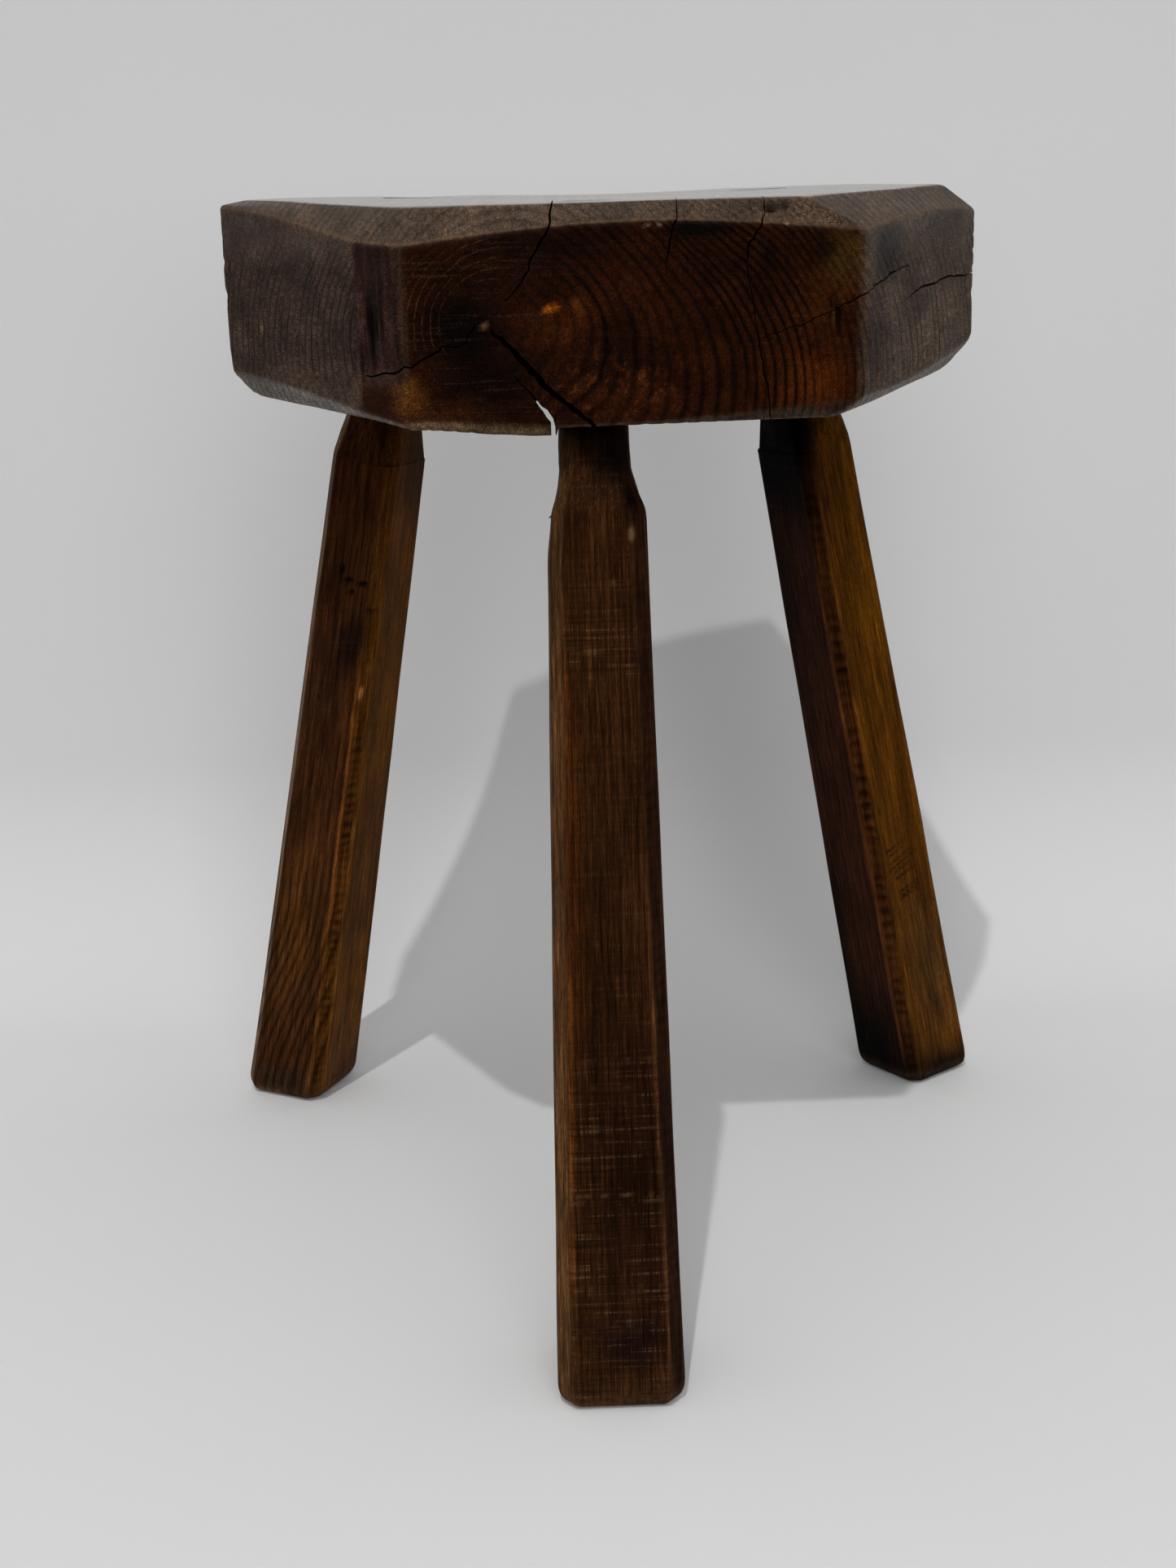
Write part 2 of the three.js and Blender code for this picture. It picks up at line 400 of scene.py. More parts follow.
def blade(name, stations, depth):
    """A closed thin blade that follows stations of (x, z, width on the face) and thins towards its depth."""
    mouth_ahead, mouth_share, tip_share = 8, 1.1, 0.12
    stations = np.asarray(stations, float)
    centre = stations[:, :2]
    along = np.gradient(centre, axis=0)
    along /= np.linalg.norm(along, axis=1)[:, None]
    across = np.column_stack([along[:, 1], -along[:, 0]])
    half = stations[:, 2:3] / 2
    face_y = face_depth(stations[:, 0])
    points = []
    for k in range(len(stations)):
        for y, scale in ((face_y[k] - mouth_ahead, mouth_share), (face_y[k] + depth, tip_share)):
            for sign in (-1, 1):
                x, z = centre[k] + across[k] * half[k] * scale * sign
                points.append((x, y, z))
    quads = []
    for k in range(len(stations) - 1):
        a = 4 * k
        b = a + 4
        for p, q in ((0, 1), (1, 3), (3, 2), (2, 0)):
            quads.append((a + p, a + q, b + q, b + p))
    end = 4 * (len(stations) - 1)
    quads.append((0, 2, 3, 1))
    quads.append((end, end + 1, end + 3, end + 2))
    cutter = make_mesh(name, points, np.array(quads))
    close_outwards(cutter)
    return cutter


def close_outwards(piece):
    """Turns every face of a closed mesh outwards."""
    bm = bmesh.new()
    bm.from_mesh(piece.data)
    bmesh.ops.recalc_face_normals(bm, faces=bm.faces)
    if bm.calc_volume(signed=True) < 0:
        bmesh.ops.reverse_faces(bm, faces=bm.faces)
    bm.to_mesh(piece.data)
    bm.free()


def face_depth(x):
    """The y of the seat's front and right faces at x."""
    xs = [-148, -85, -67, 97, 161]
    ys = [-4, -106, -123, -125, 16]
    return np.interp(x, xs, ys)


def wander(path, step, sway, seed):
    """A hand-drawn crack line: more points on the path, each pushed a little to the side."""
    path = np.asarray(path, float)
    lengths = np.linalg.norm(np.diff(path[:, :2], axis=0), axis=1)
    at = np.concatenate([[0], np.cumsum(lengths)])
    count = max(int(at[-1] / step), 2)
    s = np.linspace(0, at[-1], count + 1)
    line = np.column_stack([np.interp(s, at, path[:, k]) for k in range(3)])
    jitter = np.random.default_rng(seed).normal(0, sway, (count + 1, 2))
    jitter[0] = jitter[-1] = 0
    line[:, :2] += jitter
    line[:, 2] *= 1 + np.random.default_rng(seed + 1).uniform(-0.25, 0.25, count + 1)
    return line


# Each crack: its path as (x, z, width) on the face, and how deep it goes.
CRACKS = [
    # From the pith up through the top's edge.
    ([(-12, 437, 0.8), (-14, 424, 0.9), (-18, 417, 0.8), (-21, 412, 0.8), (-25, 403.5, 0.7),
      (-30.5, 399, 0.4)], 60),
    # The wide one from the pith down to the front leg, and its branch to the split.
    ([(-35.5, 389, 1.0), (-31, 384.5, 1.8), (-22, 375, 2.4), (-14, 366, 2.2), (-5, 359, 1.8),
      (3, 351, 1.5)], 48),
    ([(-27.5, 372.5, 0.3), (-22.5, 366.5, 0.8), (-18, 360.5, 1.3)], 30),
    # From the pith to the torn corner.
    ([(-41, 391, 0.5), (-45.5, 384, 0.8), (-53, 383.5, 0.9), (-57.5, 381, 0.9), (-63.5, 377.5, 1.1),
      (-72, 374.5, 1.1), (-82, 373, 0.8)], 18),
    # Two from the top's edge downwards; the second reaches the underside.
    ([(31.5, 437, 0.6), (31.5, 426, 0.7), (29, 422, 0.7), (27, 414, 0.5), (26.5, 406, 0.2)], 30),
    ([(61.5, 437, 0.6), (62, 427, 0.6), (60.5, 422, 0.7), (56, 416.5, 0.7), (55, 409, 0.4),
      (56.5, 401, 0.4), (58, 390, 0.4), (59.5, 381, 0.5), (61.5, 370, 0.6), (64, 353, 0.6)], 30),
    # Round the right corner, and across the right face.
    ([(55, 382.5, 0.2), (73, 387.5, 0.45), (86, 393, 0.6), (95, 397.5, 0.8), (107, 402, 0.9),
      (115, 404.5, 0.8), (121, 403.5, 0.3)], 16),
    ([(118.5, 392.5, 0.3), (124, 394, 0.9), (130, 395, 1.1), (140, 396.5, 1.1), (155, 395.5, 0.9),
      (166, 395, 0.8)], 16),
    # Fine star checks at the pith, and a nick low on the left.
    ([(-38.4, 392.3, 0.3), (-41.5, 399, 0.25), (-44.5, 407.5, 0.1)], 8),
    ([(-39.4, 391.3, 0.3), (-33.5, 395.5, 0.2), (-27, 397.5, 0.1)], 8),
    ([(-114, 365.5, 0.2), (-114, 361.5, 0.7), (-114.5, 355, 1.0)], 8),
]


def split_cutter():
    """The split in the underside beside the front leg, slanting up to its tip and wider behind its lip."""
    narrow = [(-15.4, 346), (-15.4, 355.8), (-17.0, 357.8), (-19.6, 362.6),
              (-16.6, 360.6), (-14.6, 357.6), (-13.9, 354.6), (-13.8, 346)]
    wide = [(-25.0, 346), (-25.0, 357.0), (-24.0, 360.4), (-21.4, 363.6),
            (-17.0, 361.2), (-14.8, 357.6), (-14.0, 354.6), (-13.9, 346)]
    points = []
    for y, outline in ((-150, narrow), (-120.5, narrow), (-114, wide), (-40, wide)):
        points += [(x, y, z) for x, z in outline]
    count = len(narrow)
    ends = np.array([range(count), range(4 * count - 1, 3 * count - 1, -1)])
    cutter = make_mesh("split_cutter", points, grid_faces(4, count)[:, ::-1], (ends,))
    close_outwards(cutter)
    return cutter


# --- Legs ----------------------------------------------------------------------------------------------

SHOULDER_Z = 320.0
TENON_RADIUS_UNDER = 12.8
TENON_RADIUS_TOP = 11.6
SOLE_ROUND = 7.4  # how high the sole's worn edge is rounded
SOLE_INSET = 5.4  # how far the rounding draws in the sole
LEG_COLUMNS = 184
LEGS = {
    "front": dict(azimuth=-90, half_foot=24, half_shoulder=18.1, edge=5.7, twist=0.7, neck_z=336),
    "left": dict(azimuth=150, half_foot=21.2, half_shoulder=17, edge=5.2, twist=4.5, neck_z=349),
    "right": dict(azimuth=30, half_foot=21, half_shoulder=17, edge=5, twist=8.3, neck_z=349),
}


def leg_axes(leg):
    azimuth = math.radians(leg["azimuth"])
    outward = np.array([math.cos(azimuth), math.sin(azimuth), 0.0])
    along = np.array([-SPLAY * outward[0], -SPLAY * outward[1], 1.0])
    along /= np.linalg.norm(along)
    across = np.cross(along, outward)
    across /= np.linalg.norm(across)
    out = np.cross(across, along)
    return outward, along, across, out


def axis_point(outward, z):
    """The middle of a leg at height z."""
    return outward * (FOOT_REACH - SPLAY * z) + np.array([0, 0, z])


def tenon_radius(z):
    share = (z - SEAT_UNDERSIDE) / (SEAT_TOP - SEAT_UNDERSIDE)
    return TENON_RADIUS_UNDER + (TENON_RADIUS_TOP - TENON_RADIUS_UNDER) * share


def leg_angles(leg, columns):
    """Even steps round the square section, measured along its outline from the outward face's middle."""
    half, edge = leg["half_foot"], leg["edge"]
    flat = half - edge
    slant = edge * math.sqrt(2)
    quarter = np.array([0, flat, flat + slant, 2 * flat + slant])
    perimeter = 4 * quarter[-1]
    s = np.arange(columns) / columns * perimeter
    turn = np.floor(s / quarter[-1]).astype(int)
    local = s - turn * quarter[-1]
    corner = np.array([[1, 0], [1, flat / half], [flat / half, 1], [0, 1]])
    x = np.interp(local, quarter, corner[:, 0])
    y = np.interp(local, quarter, corner[:, 1])
    return turn, x, y


def leg_section(leg, turn, x, y, half, roundness):
    """Section points of that half width, from the square shape to a circle."""
    flat = half - leg["edge"]
    base = 1 - leg["edge"] / leg["half_foot"]
    on_x, on_y = x > 0.999, y > 0.999
    slide = (y - base) / (1 - base)
    px = np.where(on_x, half, np.where(on_y, x / base * flat, half - leg["edge"] * slide))
    py = np.where(on_y, half, np.where(on_x, y / base * flat, half - leg["edge"] * (1 - slide)))
    angle = np.arctan2(py, px)
    px = px * (1 - roundness) + half * np.cos(angle) * roundness
    py = py * (1 - roundness) + half * np.sin(angle) * roundness
    a = turn * math.pi / 2
    return np.column_stack([px * np.cos(a) - py * np.sin(a), px * np.sin(a) + py * np.cos(a)])


def leg_profile(leg, z):
    """Half width and roundness of the leg's section at height z."""
    neck = leg["neck_z"]
    if z <= SHOULDER_Z:
        t = z / SHOULDER_Z
        half = leg["half_foot"] * (1 - t) + leg["half_shoulder"] * t
        return half, 0.0
    if z <= neck:
        t = (z - SHOULDER_Z) / (neck - SHOULDER_Z)
        half = leg["half_shoulder"] * (1 - t) + tenon_radius(neck) * t
        return half, 0.25 * t
    if z < SEAT_UNDERSIDE:
        t = (z - neck) / (SEAT_UNDERSIDE - neck)
        return tenon_radius(z), 0.25 + 0.75 * t
    return tenon_radius(z), 1.0


def leg_heights():
    foot = [0.0, 0.35, 1.0, 2.0, 3.4, 5.2, SOLE_ROUND]
    shaft = np.arange(8.6, SHOULDER_Z - 3, 1.15).tolist()
    shoulder = np.arange(SHOULDER_Z - 3, SEAT_UNDERSIDE + 4, 0.9).tolist()
    tenon = np.arange(SEAT_UNDERSIDE + 8, SEAT_TOP - 1, 8.0).tolist() + [SEAT_TOP]
    return foot + shaft + shoulder + tenon


def foot_inset(z):
    """How far the worn sole's edge draws in at height z."""
    below = max(0.0, SOLE_ROUND - z) / SOLE_ROUND
    return SOLE_INSET * (1 - math.sqrt(1 - below**2))


def leg_grid(leg):
    """Rings of (height, columns) points up the leg, with each point's section place."""
    turn, x, y = leg_angles(leg, LEG_COLUMNS)
    outward, along, across, out = leg_axes(leg)
    angle = math.radians(leg["twist"])
    twist = np.array([[math.cos(angle), math.sin(angle)], [-math.sin(angle), math.cos(angle)]])
    rings, places = [], []
    for z in leg_heights():
        half, roundness = leg_profile(leg, z)
        section = leg_section(leg, turn, x, y, half, roundness)
        section *= (half - foot_inset(z)) / half
        turned = section @ twist
        points = axis_point(outward, z) + turned[:, :1] * out + turned[:, 1:] * across
        level = z <= SHOULDER_Z or z >= SEAT_TOP
        if level:
            points = points + along * ((z - points[:, 2]) / along[2])[:, None]
        rings.append(points)
        places.append(np.column_stack([section, np.full(LEG_COLUMNS, z)]))
    return np.array(rings), np.array(places)


def section_share(leg, places):
    """Each point's section place as a share of the leg's half width at that height."""
    heights = [0, SHOULDER_Z, leg["neck_z"], SEAT_TOP]
    halves = [leg["half_foot"], leg["half_shoulder"], TENON_RADIUS_UNDER, TENON_RADIUS_TOP]
    return places[:, :2] / np.interp(places[:, 2], heights, halves)[:, None]


def facing_sides(leg, places):
    """How much of each point belongs to each face (+u, -u, +v, -v) and each chamfer (such as +u-v)."""
    su, sv = section_share(leg, places).T
    sides = {}
    for name, value in (("+u", su), ("-u", -su), ("+v", sv), ("-v", -sv)):
        sides[name] = smoothstep(0.93, 0.99, value)
    slant = 1 - np.max(list(sides.values()), axis=0)
    for name, pick in (("+u-v", (su > 0) & (sv < 0)), ("+u+v", (su > 0) & (sv > 0)),
                       ("-u+v", (su < 0) & (sv > 0)), ("-u-v", (su < 0) & (sv < 0))):
        sides[name] = slant * pick
    return sides


def edge_line(leg, places, u_share, v_share, reach):
    """1 along the arris at that place in the section, fading over reach millimetres."""
    half = np.interp(places[:, 2], [0, SHOULDER_Z], [leg["half_foot"], leg["half_shoulder"]])
    inner = half - leg["edge"]
    at_u = np.where(abs(u_share) == 1, half, inner) * np.sign(u_share)
    at_v = np.where(abs(v_share) == 1, half, inner) * np.sign(v_share)
    away = np.hypot(places[:, 0] - at_u, places[:, 1] - at_v)
    return np.exp(-((away / reach) ** 2)) * smoothstep(SHOULDER_Z, SHOULDER_Z - 12, places[:, 2])


def scallops(places, pitch, seed):
    """Bites of a drawknife or plane that chattered along the leg, 1 at the bottom of each bite."""
    z = places[:, 2] + noise(places, (40, 40, 13), seed) * 3.0 + noise(places, (5, 5, 5), seed + 1) * 1.2
    deep = 0.62 + 0.38 * noise(places * [0, 0, 1], 11, seed + 3)
    ridge = np.abs(np.cos(np.pi * z / pitch))
    return (1 - ridge**1.6) * deep


# The chattered chamfer that shows on each leg, the pitch of its bites, their depth, and where they end. The
# depth also sets how dark the bites' painted shade is.
CHATTER = dict(
    front=dict(chamfer="+u+v", pitch=5.2, depth=0.25, end=316),
    left=dict(chamfer="-u+v", pitch=4.6, depth=0.6, end=214),
    right=dict(chamfer="-u-v", pitch=6.2, depth=1.5, end=316),
)


def chatter(name, places, sides, fade):
    """A leg's row of bites, from 0 to 1. It fades out over fade millimetres below its end."""
    row = CHATTER[name]
    shown = smoothstep(row["end"], row["end"] - fade, places[:, 2])
    return sides[row["chamfer"]] * scallops(places, row["pitch"], 71) * shown


# Heights of the front leg's boldest saw lines, with their strengths.
FRONT_SAW_LINES = [
    (276, 0.5), (129, 0.4), (119, 0.3), (104, 0.45), (80, 0.8), (77.5, 0.6), (46, 0.5), (30, 0.3),
]


def saw_lines(places, heights, seed):
    """Thin broken lines across the leg at those heights, with each one's strength from 0 to 1."""
    total = np.zeros(len(places))
    for k, (z, strength) in enumerate(heights):
        tilt = places[:, 1] * 0.012 * math.sin(k * 2.3)
        near = np.exp(-(((places[:, 2] - z - tilt) / 0.65) ** 2))
        broken = smoothstep(-0.05, 0.4, noise(places * [1, 1, 0] + [0, 0, 9 * k], (2.6, 2.6, 4), seed + k))
        total += near * broken * strength
    return np.clip(total, 0, 1)


# Knots and chips in each leg: centre as (outward, across, height), radii, depth, colour, strength.
LEG_PITS = {
    "front": [
        ((19, 12.9, 316), (2.6, 3, 4), 0.5, (132, 108, 80), 0.75),
        ((19, 5, 299), (1.6, 2, 2.2), 0.3, (112, 84, 52), 0.6),
        ((19, -3, 275), (1.8, 6, 1.2), 0.3, (104, 76, 46), 0.6),
    ],
    "left": [
        ((2.2, 18, 272), (2.6, 4, 4.4), 1.0, (8, 5, 3), 0.95),
        ((-1.5, 18, 267.5), (4.2, 4, 2.2), 1.2, (7, 4, 3), 1.0),
        ((-9, 18, 266), (4.4, 4, 2.3), 1.3, (7, 4, 3), 1.0),
        ((-4, 18, 262), (2.6, 4, 2.1), 1.0, (7, 4, 3), 1.0),
        ((-14.9, 17, 254), (3.4, 5, 2.6), 0.9, (20, 11, 5), 0.8),
        ((-15, 17, 254.5), (1.4, 4, 1.2), 0.0, (120, 66, 18), 0.8),
        ((13, 17, 240), (2.2, 4, 4.5), 0.6, (22, 12, 7), 0.7),
        ((-15.2, 18, 214.7), (1.8, 3, 5.4), 0.8, (215, 140, 78), 1.0),
    ],
    "right": [
        ((-13.8, -17.6, 8), (2.2, 5, 24), 1.8, (5, 4, 3), 1.0),
        ((-12.2, -17.5, 150), (1.0, 3, 16), 0.9, (12, 7, 4), 0.85),
    ],
}

# Scratches across the right leg: from (outward, height) to (outward, height).
SCRATCHES = [
    ((-11.5, 126.5), (3, 131)), ((-10.5, 124), (0, 127.5)), ((-9.5, 120.5), (7, 126)),
    ((-10.5, 117), (8, 124)), ((-8, 115.5), (3, 119)), ((-8, 112), (6, 116)),
    ((-7, 104.5), (6, 109)), ((-6, 102.5), (6, 107)), ((-7, 101), (5, 104.5)),
]


def scratch_lines(places):
    """1 on the right leg's scratches."""
    total = np.zeros(len(places))
    flat = places[:, [0, 2]]
    for first, last in SCRATCHES:
        first, last = np.array(first, float), np.array(last, float)
        along = last - first
        t = np.clip((flat - first) @ along / (along @ along), 0, 1)
        away = np.linalg.norm(flat - first - t[:, None] * along, axis=1)
        total = np.maximum(total, np.exp(-((away / 0.6) ** 2)) * (1 - 0.6 * t))
    return total * smoothstep(-14, -17, places[:, 1])


def leg_relief(name, places, sides):
    """Heights in millimetres added along the normals of a leg."""
    u, v, z = places.T
    height = layered_noise(places, (16, 16, 70), seed=61, octaves=2) * 0.45
    height += noise(places, (2.2, 2.2, 45), seed=63) * 0.1
    height -= chatter(name, places, sides, 14) * CHATTER[name]["depth"]
    if name == "front":
        height -= saw_lines(places, FRONT_SAW_LINES, 81) * (u > 10) * 0.16
        low_shoulder = smoothstep(302, 321, z) * smoothstep(340, 328, z)
        height -= 1.5 * low_shoulder * smoothstep(-9, -15, v)
    if name == "right":
        height -= scratch_lines(places) * 0.3
    for centre, radii, depth, _, _ in LEG_PITS[name]:
        height -= blob(places, centre, radii) * depth
    whittled = smoothstep(SHOULDER_Z - 8, SHOULDER_Z + 8, z)
    whittled *= smoothstep(SEAT_UNDERSIDE + 6, SEAT_UNDERSIDE - 4, z)
    height += layered_noise(places, (7, 7, 15), seed=91, octaves=2) * whittled * 0.5
    return height * smoothstep(0.0, 4.0, z) * (z < SEAT_UNDERSIDE + 2)


# --- Stains and painted shade, shadow and sheen --------------------------------------------------------

DARKEST = 0.0003


def tone(r, g, b):
    """A colour given as 0 to 255 display values, as linear numbers."""
    c = np.array([r, g, b]) / 255.0
    return np.where(c <= 0.04045, c / 12.92, ((c + 0.055) / 1.055) ** 2.4)


def over(colours, weight, colour):
    """Lays one display colour over the colours, by a weight for each point."""
    w = weight[:, None]
    return colours * (1 - w) + tone(*colour) * w


def paint(colours, points, patches, ragged=3.0):
    """Lays soft-edged patches of (centre, radii, colour, strength) over the colours."""
    shifts = [layered_noise(points, 9, seed=seed, octaves=2) for seed in (3, 4, 6)]
    moved = points + np.column_stack(shifts) * ragged
    for centre, radii, colour, strength in patches:
        colours = over(colours, blob(moved, centre, radii) * strength, colour)
    return colours


# The colour of the seat's top, back and chamfers, and of each other side before its stains. The grey of the
# left and right sides is partly the wood's own and partly a painted sheen of the bright room.
SEAT_BASE = (78, 61, 47)
SEAT_SIDES = dict(
    down=(66, 54, 45), front=(44, 18, 5), torn=(50, 31, 26), left=(75, 58, 48), right=(95, 78, 64),
)
RIM_WOOD = (134, 126, 118)
LIP_WOOD = (112, 92, 66)
CHIPPED_WOOD = (150, 120, 90)
SPECKED_WOOD = (100, 52, 22)


# Stains on the seat: centre and radii in plan millimetres, colour, strength.
SEAT_STAINS = [
    ((-46, -123, 389), (27, 60, 25), (6, 3, 2), 0.95),
    ((-36, -123, 370), (36, 60, 18), (9, 4, 2), 0.85),
    ((-30, -124, 408), (44, 60, 15), (20, 9, 4), 0.5),
    ((-20, -124, 418), (40, 60, 10), (20, 9, 5), 0.7),
    ((39, -124, 421.5), (19, 40, 7), (7, 6, 7), 0.95),
    ((62, -125, 413), (5, 60, 9), (10, 6, 4), 0.75),
    ((77, -125, 369), (24, 60, 20), (88, 40, 8), 0.6),
    ((83, -125, 396), (18, 60, 20), (72, 36, 8), 0.6),
    ((90, -125, 411), (13, 60, 13), (76, 54, 20), 0.8),
    ((81, -125, 416), (5, 60, 9), (16, 9, 5), 0.65),
    ((-4, -124, 391), (17, 60, 12), (74, 34, 7), 0.45),
    ((-3, -124, 396), (5, 60, 5), (104, 56, 13), 0.5),
    ((-14.5, -124, 394.4), (5, 60, 2.0), (176, 92, 14), 0.9),
    ((-38.7, -123, 391.2), (2.2, 60, 1.6), (112, 84, 62), 0.7),
    ((85.8, -125, 393), (1.2, 60, 9), (118, 84, 44), 0.7),
    ((-66, -121, 366), (9, 60, 10), (92, 52, 15), 0.75),
    ((-66.5, -121, 371), (3.4, 60, 3.4), (108, 72, 26), 0.6),
    ((-48, -123, 361), (26, 60, 6), (56, 30, 12), 0.45),
    ((8, -124, 375), (26, 60, 18), (22, 8, 4), 0.5),
    ((14, -124, 364), (26, 60, 12), (80, 38, 8), 0.3),
    ((102, -112, 382), (10, 60, 28), (62, 42, 38), 0.75),
    ((109, -98, 411), (16, 60, 15), (34, 32, 32), 0.8),
    ((142, -26, 417), (40, 80, 12), (56, 48, 41), 0.7),
    ((124, -66, 393), (7, 40, 15), (84, 58, 52), 0.6),
    ((132, -48, 388), (12, 40, 20), (112, 96, 82), 0.4),
    ((150, -8, 372), (14, 60, 14), (66, 56, 50), 0.5),
]


def torn_fibres(points, torn_share):
    """How much lighter or darker the torn corner's fibres are than the wood round them."""
    torn = layered_noise(points, (1.7, 1.7, 22), seed=45, octaves=2)
    reach = torn_share * (0.4 + 0.6 * blob(points, *TORN_HOLLOW))
    return reach * np.clip(torn * 2.4 - 0.2, -0.93, 1.4)


def pale_rim(points, facing):
    """The pale chamfer under the seat, hatched by the tool that cut it."""
    x, y, z = points.T
    hatch = noise(np.column_stack([x + 0.6 * y, z + 0.5 * x, z]), (1.5, 30, 30), seed=47)
    return facing["rim"] * (0.75 + 0.25 * hatch)


def pale_lip(points, facing):
    """The pale lower edge left of the split."""
    x, y, z = points.T
    left_of_split = smoothstep(-14, -20, x)
    edge = facing["front"] * smoothstep(358.5, 356, z) * left_of_split
    underneath = facing["down"] * smoothstep(-112, -118, y) * left_of_split
    return np.maximum(edge, underneath) * 0.8


def specks(points, facing):
    """Chipped specks round the foot of the wide crack."""
    speck = smoothstep(0.34, 0.6, noise(points, (1.3, 4, 1.9), seed=57))
    return speck * blob(points, (9, -124, 366), (40, 30, 22)) * facing["front"] * 0.45


def seat_stain_and_sheen(points, facing):
    """The seat's colour before its growth rings and pores, with a painted sheen in the grey of its left and
    right sides.
    """
    shares = dict(facing)
    shares["torn"] = facing["torn"] * smoothstep(*TORN_END, points[:, 2])
    shares["front"] = facing["front"] + facing["torn"] - shares["torn"]
    colours = np.tile(tone(*SEAT_BASE), (len(points), 1))
    # Painted sheen: this lays the partly grey colours of the left and right sides.
    for name, colour in SEAT_SIDES.items():
        colours = over(colours, shares[name], colour)
    stained = np.maximum(shares["front"], shares["torn"] * 0.3)
    stained = np.maximum(stained, facing["right"])[:, None]
    colours = colours * (1 - stained) + paint(colours, points, SEAT_STAINS) * stained
    for centre, radii, _, look in SEAT_PITS:
        if look == "dark":
            colours = colours * (1 - 0.9 * blob(points, centre, np.array(radii) * 1.2))[:, None]
    colours = colours * (1 + torn_fibres(points, shares["torn"]))[:, None]
    colours = over(colours, pale_rim(points, facing), RIM_WOOD)
    colours = over(colours, pale_lip(points, facing), LIP_WOOD)
    for centre, radii, _, look in SEAT_PITS:
        if look == "pale":
            colours = over(colours, blob(points, centre, radii) * 0.6, CHIPPED_WOOD)
    colours = over(colours, specks(points, facing), SPECKED_WOOD)
    streak = layered_noise(points, (10, 120, 10), seed=12, octaves=3)[:, None]
    return np.clip(colours * (1 + 0.42 * streak), DARKEST, 1)


# The colour of each leg's faces and chamfers before its stains.
LEG_BASE = dict(front=(56, 31, 12), left=(62, 36, 14), right=(66, 36, 9))
LEG_SIDES = {
    "front": {"+u-v": (90, 60, 34), "+u+v": (46, 23, 9), "+v": (40, 20, 8), "-v": (88, 60, 36)},
    "left": {"+v": (66, 36, 14), "-u": (92, 54, 11), "-u+v": (86, 50, 14), "+u+v": (128, 96, 66)},
    "right": {"-u": (52, 26, 14), "-v": (98, 57, 5), "-u-v": (72, 39, 14), "+u-v": (80, 48, 12)},
}
# Stains on each leg, and the seat's shadow painted on each leg's neck: centre and radii as (outward, across,
# height), colour, strength.
LEG_STAINS_AND_SHADOWS = {
    "front": [
        # The first three: painted shadow of the seat on the neck.
        ((14, 0, 358), (40, 40, 36), (4, 3, 2), 1.0),
        ((16, 7, 337), (14, 12, 14), (5, 3, 2), 0.95),
        ((17, 14, 326), (10, 8, 10), (5, 3, 2), 0.97),
        ((18, -8, 334), (10, 9, 11), (72, 38, 15), 0.6),
        ((20, 0, 190), (12, 16, 42), (44, 25, 11), 0.6),
        ((22, 6, 85), (12, 28, 105), (33, 15, 7), 0.85),
        ((24, 4, 26), (14, 22, 15), (20, 10, 9), 0.85),
        ((24, 0, 6), (18, 34, 12), (58, 37, 19), 0.7),
        ((22, -12, 215), (6, 5, 110), (84, 42, 12), 0.5),
    ],
    "left": [
        # The first one: painted shadow of the seat on the neck.
        ((-11, 17, 340), (12, 10, 15), (14, 7, 4), 0.9),
        ((8, 17, 312), (14, 8, 34), (52, 22, 8), 0.7),
        ((-6, 18, 300), (8, 6, 26), (74, 36, 10), 0.5),
        ((4, 18, 266), (13, 6, 26), (38, 17, 8), 0.7),
        ((-7, 18, 238), (12, 6, 24), (24, 13, 8), 0.9),
        ((4, 18, 215), (18, 6, 40), (42, 25, 14), 0.7),
        ((0, 20, 100), (22, 6, 70), (92, 56, 20), 0.6),
        ((0, 21, 10), (30, 12, 14), (50, 37, 25), 0.7),
        ((-22, -6, 8), (10, 26, 26), (48, 28, 14), 0.7),
        ((-18, -4, 322), (12, 26, 44), (40, 19, 7), 0.75),
        ((-20, -4, 120), (12, 26, 70), (76, 44, 14), 0.6),
    ],
    "right": [
        # The first three: painted shadow of the seat on the neck and the upper inner face.
        ((-17, 4, 338), (18, 70, 85), (2, 2, 2), 1.0),
        ((-17, 4, 325), (12, 60, 50), (2, 2, 2), 1.0),
        ((-13, -13, 346), (15, 16, 34), (4, 3, 3), 1.0),
        ((-17, 14, 250), (10, 16, 60), (18, 10, 9), 0.7),
        ((-10, -17, 300), (12, 8, 34), (58, 28, 8), 0.7),
        ((-12, -12, 296), (8, 8, 24), (10, 6, 4), 0.8),
        ((2, -18, 250), (20, 8, 30), (104, 64, 8), 0.5),
        ((4, -19, 60), (24, 8, 70), (82, 54, 25), 0.8),
        ((-20, 16, 70), (10, 12, 90), (12, 8, 6), 0.85),
        ((-20, 6, 12), (16, 44, 56), (4, 4, 3), 1.0),
        ((3, -20, 1), (46, 16, 25), (4, 4, 3), 1.0),
    ],
}
# Lines along the arrises: their place in the section (1 is a face, 0.5 the chamfer's inner edge), the heights
# between which they show, and their colour. Most are rubbed pale, and one is a dark groove.
LEG_ARRISES = {
    "front": [
        (1, -0.5, 40, 290, (112, 60, 20)),
        (1, 0.5, 20, 200, (92, 56, 28)),
    ],
    "left": [
        (-0.5, 1, 10, 232, (144, 82, 28)),
        (-1, 0.5, 10, 150, (130, 80, 34)),
    ],
    "right": [
        (-1, -0.5, 16, 260, (108, 58, 24)),
        (-0.5, -1, 175, 300, (112, 62, 20)),
        (-0.5, -1, 10, 160, (10, 5, 3)),
    ],
}
